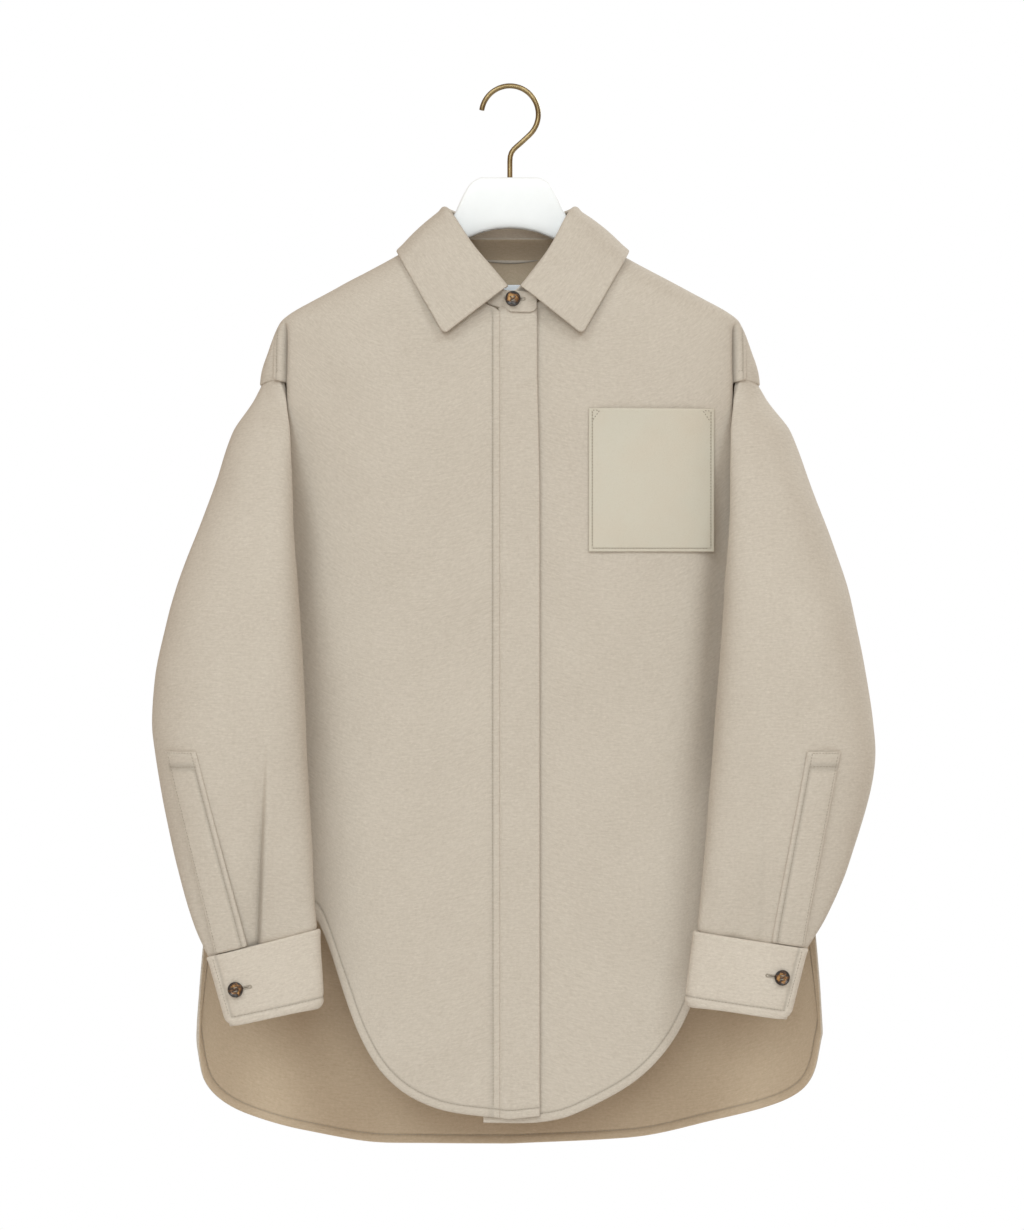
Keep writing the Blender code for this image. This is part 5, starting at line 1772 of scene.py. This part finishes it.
@dataclass
class Hanger:
    """Contoured hanger with its turned-wire hook."""

    finishes: Wardrobe
    arms: Table = Table("x", dict(
        x=(0, 10, 26, 36, 42, 52, 58, 64, 72, 100, 150, 196, 208),
        top=(-84.5, -84.5, -84.5, -89, -97, -118, -130, -147, -152, -164, -188.9, -214.4, -226),
        base=(-133, -133.6, -137, -141, -143.5, -149, -154, -160, -167, -184, -211, -237, -240),
        thick=(7, 7, 7, 7, 7, 7, 7.2, 7.6, 8.2, 10, 12, 12, 8)))
    hook_radius: float = 27.0
    wire: float = 2.45

    def build(self) -> None:
        """Makes the hanger's body and its hook."""
        self.body()
        self.hook()

    def body(self) -> None:
        """Lofts the arms and head through their sections, end to end."""
        half = np.concatenate([np.linspace(0, 26, 6)[1:], np.linspace(28, 64, 19), np.linspace(68, 200, 30),
                               [203, 205.5, 207.2, 208]])
        xs = np.concatenate([-half[::-1], [0.0], half])
        count = 32
        bm = bmesh.new()
        bmesh.ops.create_grid(bm, x_segments=len(xs) - 1, y_segments=count, size=0.5)
        top, base, thick = (self.arms.read(n, np.abs(xs)) for n in ("top", "base", "thick"))
        close = np.sqrt(np.clip(1 - np.clip((np.abs(xs) - 202) / 6.2, 0, 1) ** 2, 0.02, 1))
        for vert in bm.verts:
            c = round((vert.co.x + 0.5) * (len(xs) - 1))
            t = (vert.co.y + 0.5) * math.tau
            mid, tall = (top[c] + base[c]) / 2, (top[c] - base[c]) / 2 * close[c]
            side, rise = math.cos(t), math.sin(t)
            vert.co = Vector((xs[c], thick[c] * close[c] * math.copysign(abs(side) ** 0.42, side),
                              mid + tall * math.copysign(abs(rise) ** 0.5, rise))) * MM
        bmesh.ops.remove_doubles(bm, verts=bm.verts, dist=0.00002)
        bmesh.ops.holes_fill(bm, edges=bm.edges, sides=0)
        bmesh.ops.recalc_face_normals(bm, faces=bm.faces)
        made = finished("hanger_lacquered", bm, self.finishes.lacquer, "hanger")
        smooth = made.modifiers.new("smooth", "SUBSURF")
        smooth.levels = smooth.render_levels = 1

    def hook(self) -> None:
        """Draws a ring of wire up the stem, round the bend and over the crown."""
        centre = Vector((0, 0, -(self.hook_radius - self.wire)))
        bend = ((0.3, -64.6), (1.5, -60.9), (3.7, -57.8), (6.6, -55.0), (10.0, -52.1), (13.6, -48.8))
        spine = [Vector((0, 0, z)) for z in (-98, -90, -82, -74, -69)] + [Vector((x, 0, z)) for x, z in bend]
        arc = [math.radians(-46 + 218 * k / 40) for k in range(41)]
        spine += [centre + Vector((math.cos(a), 0, math.sin(a))) * self.hook_radius for a in arc]
        bm = bmesh.new()
        bmesh.ops.create_circle(bm, cap_ends=True, segments=16, radius=self.wire * MM,
                                matrix=Matrix.Translation(spine[0] * MM))
        face = next(iter(bm.faces))
        for before, here, after in zip(spine, spine[1:], spine[2:] + [spine[-1] * 2 - spine[-2]]):
            made = bmesh.ops.extrude_face_region(bm, geom=[face])
            bmesh.ops.delete(bm, geom=[face], context="FACES_ONLY")
            face = next(f for f in made["geom"] if isinstance(f, bmesh.types.BMFace))
            old, new = (here - before).normalized(), (after - before).normalized()
            verts = list(face.verts)
            now = sum((v.co for v in verts), Vector()) / len(verts)
            normal = self.plane(verts, now, old)
            turn = normal.rotation_difference(new).to_matrix()
            for v in verts:
                v.co = here * MM + turn @ (v.co - now)
        bmesh.ops.bevel(bm, geom=list(face.edges), offset=0.5 * MM, segments=2, profile=0.5, affect="EDGES",
                        material=-1)
        bmesh.ops.holes_fill(bm, edges=bm.edges, sides=0)
        bmesh.ops.recalc_face_normals(bm, faces=bm.faces)
        finished("hook_wire", bm, self.finishes.brass, "hook")

    @staticmethod
    def plane(verts: list[bmesh.types.BMVert], middle: Vector, like: Vector) -> Vector:
        """Normal of a ring of vertices, on the side of a direction."""
        normal = (verts[0].co - middle).cross(verts[len(verts) // 4].co - middle).normalized()
        return normal if normal.dot(like) > 0 else -normal


@dataclass
class Studio:
    """Pale floor, soft lights and the camera in front."""

    finishes: Wardrobe
    distance: float = 4.0
    view_height: float = 1.168
    centre: Pair = (0.002, -0.500)
    floor_z: float = -1.9

    def light(self, name: str, size: Pair, power: float, at: Triple, target: Vector) -> None:
        """Hangs one soft box.

        Args:
            name: its name.
            size: width and height in metres.
            power: watts.
            at: its place.
            target: what it faces.
        """
        lamp = bpy.data.lights.new(name, "AREA")
        lamp.shape, lamp.size, lamp.size_y, lamp.energy = "RECTANGLE", size[0], size[1], power
        lamp.color = (0.80, 0.925, 1.0)
        made = bpy.data.objects.new(name, lamp)
        made.location = at
        made.rotation_euler = (target - Vector(at)).to_track_quat("-Z", "Y").to_euler()
        bpy.context.scene.collection.objects.link(made)

    def build(self) -> None:
        """Sets up the floor, world, lights and camera."""
        bm = bmesh.new()
        bmesh.ops.create_circle(bm, cap_ends=True, segments=96, radius=5.5,
                                matrix=Matrix.Translation((0, 0, self.floor_z)))
        mesh = bpy.data.meshes.new("floor")
        bm.to_mesh(mesh)
        bm.free()
        mesh.materials.append(self.finishes.floor)
        floor = bpy.data.objects.new("floor", mesh)
        bpy.context.scene.collection.objects.link(floor)
        world = bpy.data.worlds.new("studio")
        bpy.context.scene.world = world
        world.use_nodes = True
        g = Graph(world.node_tree)
        seen = g.node("ShaderNodeBackground", Color=(1, 1, 1, 1), Strength=1.0)
        lit = g.node("ShaderNodeBackground", Color=(1.0, 0.79, 0.60, 1), Strength=0.46)
        path = g.node("ShaderNodeLightPath")
        both = g.node("ShaderNodeMixShader", s0=path.outputs["Is Camera Ray"], s1=lit.outputs[0],
                      s2=seen.outputs[0])
        world.node_tree.links.new(both.outputs[0], world.node_tree.nodes["World Output"].inputs[0])
        aim = Vector((0, 0, -0.5))
        for name, size, power, at in (("key_left", (2.7, 3.0), 240, (-3.5, -6.0, 5.8)),
                                      ("key_right", (2.7, 3.0), 240, (3.5, -6.0, 5.8)),
                                      ("fill", (3.6, 3.0), 160, (-0.6, -7.2, 1.2)),
                                      ("rear", (2.4, 2.6), 270, (4.3, 4.7, 2.6))):
            self.light(name, size, power, at, aim)
        lens = bpy.data.cameras.new("camera")
        lens.lens, lens.sensor_width = 36 * self.distance / self.view_height, 36
        camera = bpy.data.objects.new("camera", lens)
        camera.location = (self.centre[0], -self.distance, self.centre[1])
        camera.rotation_euler = (math.pi / 2, 0, 0)
        bpy.context.scene.collection.objects.link(camera)
        bpy.context.scene.camera = camera
        bpy.context.scene.view_settings.view_transform = "Standard"


@dataclass
class ShirtJacket:
    """The whole garment on its hanger."""

    finishes: Wardrobe = field(default_factory=Wardrobe)

    def build(self) -> None:
        """Builds and dresses every sub-assembly in order."""
        for panel in self.fronts():
            panel.build()
            panel.dress()
        Placket(self.finishes).build()
        BackPanel(self.finishes).build()
        for sleeve in self.sleeves():
            sleeve.build()
        cuffs = self.cuffs()
        for cuff in cuffs:
            cuff.build()
        collar = Collar(self.finishes)
        collar.stand()
        collar.fall()
        collar.label()
        PatchPocket(self.finishes).build()
        self.buttons(collar, cuffs)
        Hanger(self.finishes).build()

    def fronts(self) -> list[FrontPanel]:
        """Both fronts with the folds that each hangs in."""
        lobe = Fold(((213.4, -224), (213.4, -350)), 1.4, 9, FoldShape.PLEAT, fade=30)
        left = (lobe, Fold(((210, -310), (202, -480), (192, -720)), -5.5, 19, fade=120),
                Fold(((150, -560), (128, -760), (104, -930)), 2.2, 26, fade=170),
                Fold(((86, -480), (70, -720), (58, -950)), -1.8, 24, fade=200),
                Fold(((196, -236), (150, -262), (96, -300)), 1.4, 18, fade=60))
        right = (lobe, Fold(((211, -310), (204, -480), (194, -720)), -9.0, 19, fade=120),
                 Fold(((170, -520), (150, -720), (128, -900)), 2.0, 24, fade=170),
                 Fold(((92, -480), (84, -720), (74, -940)), -1.8, 24, fade=200),
                 Fold(((196, -236), (160, -258), (110, -290)), 1.4, 18, fade=60))
        return [FrontPanel(Side.LEFT, self.finishes, left), FrontPanel(Side.RIGHT, self.finishes, right)]

    def sleeves(self) -> list[Sleeve]:
        """Both sleeves with their folds, pressed lines and strips."""
        back = (Fold(((262, -330), (290, -470), (304, -600)), -3.0, 18, fade=90),
                Fold(((232, -520), (250, -640), (262, -760)), 2.6, 18, fade=80),
                Fold(((215, -600), (226, -700), (222, -800)), -2.6, 12, fade=70))
        left = (Fold(((223, -600), (226, -667), (231.8, -804), (237, -930)), -6.6, 14, FoldShape.PLEAT,
                     fade=120),
                Fold(((250, -420), (256, -560), (248, -700)), -1.6, 20, fade=120),
                Fold(((214, -320), (214, -480), (208, -600)), 1.2, 12, fade=90))
        right = (Fold(((236, -560), (233, -660), (230, -800), (228, -900)), 2.6, 9, fade=90),
                 Fold(((214, -700), (209, -760), (206, -802), (205, -860)), -2.2, 6, fade=50),
                 Fold(((196, -720), (199, -762), (196, -802), (195, -860)), 1.8, 5, fade=50),
                 Fold(((262, -420), (272, -560), (266, -700)), -1.6, 20, fade=120))
        return [Sleeve(Side.LEFT, self.finishes, left, back,
                       ((223, -277), (223, -590), (226, -667), (231.8, -804)), (318, 273), (289, 243)),
                Sleeve(Side.RIGHT, self.finishes, right, back,
                       ((232, -277), (236, -560), (233, -660), (230, -804)), (305, 272), (274, 242))]

    def cuffs(self) -> list[Cuff]:
        """Both cuffs by their four corners, across and down."""
        return [Cuff(Side.LEFT, self.finishes, (281, -817.5), (180.5, -792.0), (262, -883.0), (176, -864.0)),
                Cuff(Side.RIGHT, self.finishes, (276.5, -809.5), (174.8, -794.0), (259.4, -876.5),
                     (165.3, -862.4))]

    def buttons(self, collar: Collar, cuffs: list[Cuff]) -> None:
        """Sews on the three buttons where their solids are.

        Args:
            collar: carries the neck button.
            cuffs: carry the other two.
        """
        hosts = (("button_neck", collar.piece, (0.0, -1.0, 0.35), (1, 0, -0.05), 1.5),
                 ("button_cuff_left", cuffs[0].piece, (-0.13, -1.0, 0.0), (1, 0, 0.2), 5.5),
                 ("button_cuff_right", cuffs[1].piece, (0.13, -1.0, 0.0), (-1, 0, 0.15), 5.5))
        for name, host, axis, way, shift in hosts:
            low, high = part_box(name)
            button = Button(name, self.finishes, host, tuple((low + high) / 2 / MM), axis, way, shift)
            button.seat()
            button.build()


def main() -> None:
    """Builds the garment and the studio."""
    logging.basicConfig(level=logging.INFO, format="%(message)s")
    finishes = Wardrobe()
    ShirtJacket(finishes).build()
    Studio(finishes).build()
    bpy.context.view_layer.update()


if __name__ == "__main__":
    main()
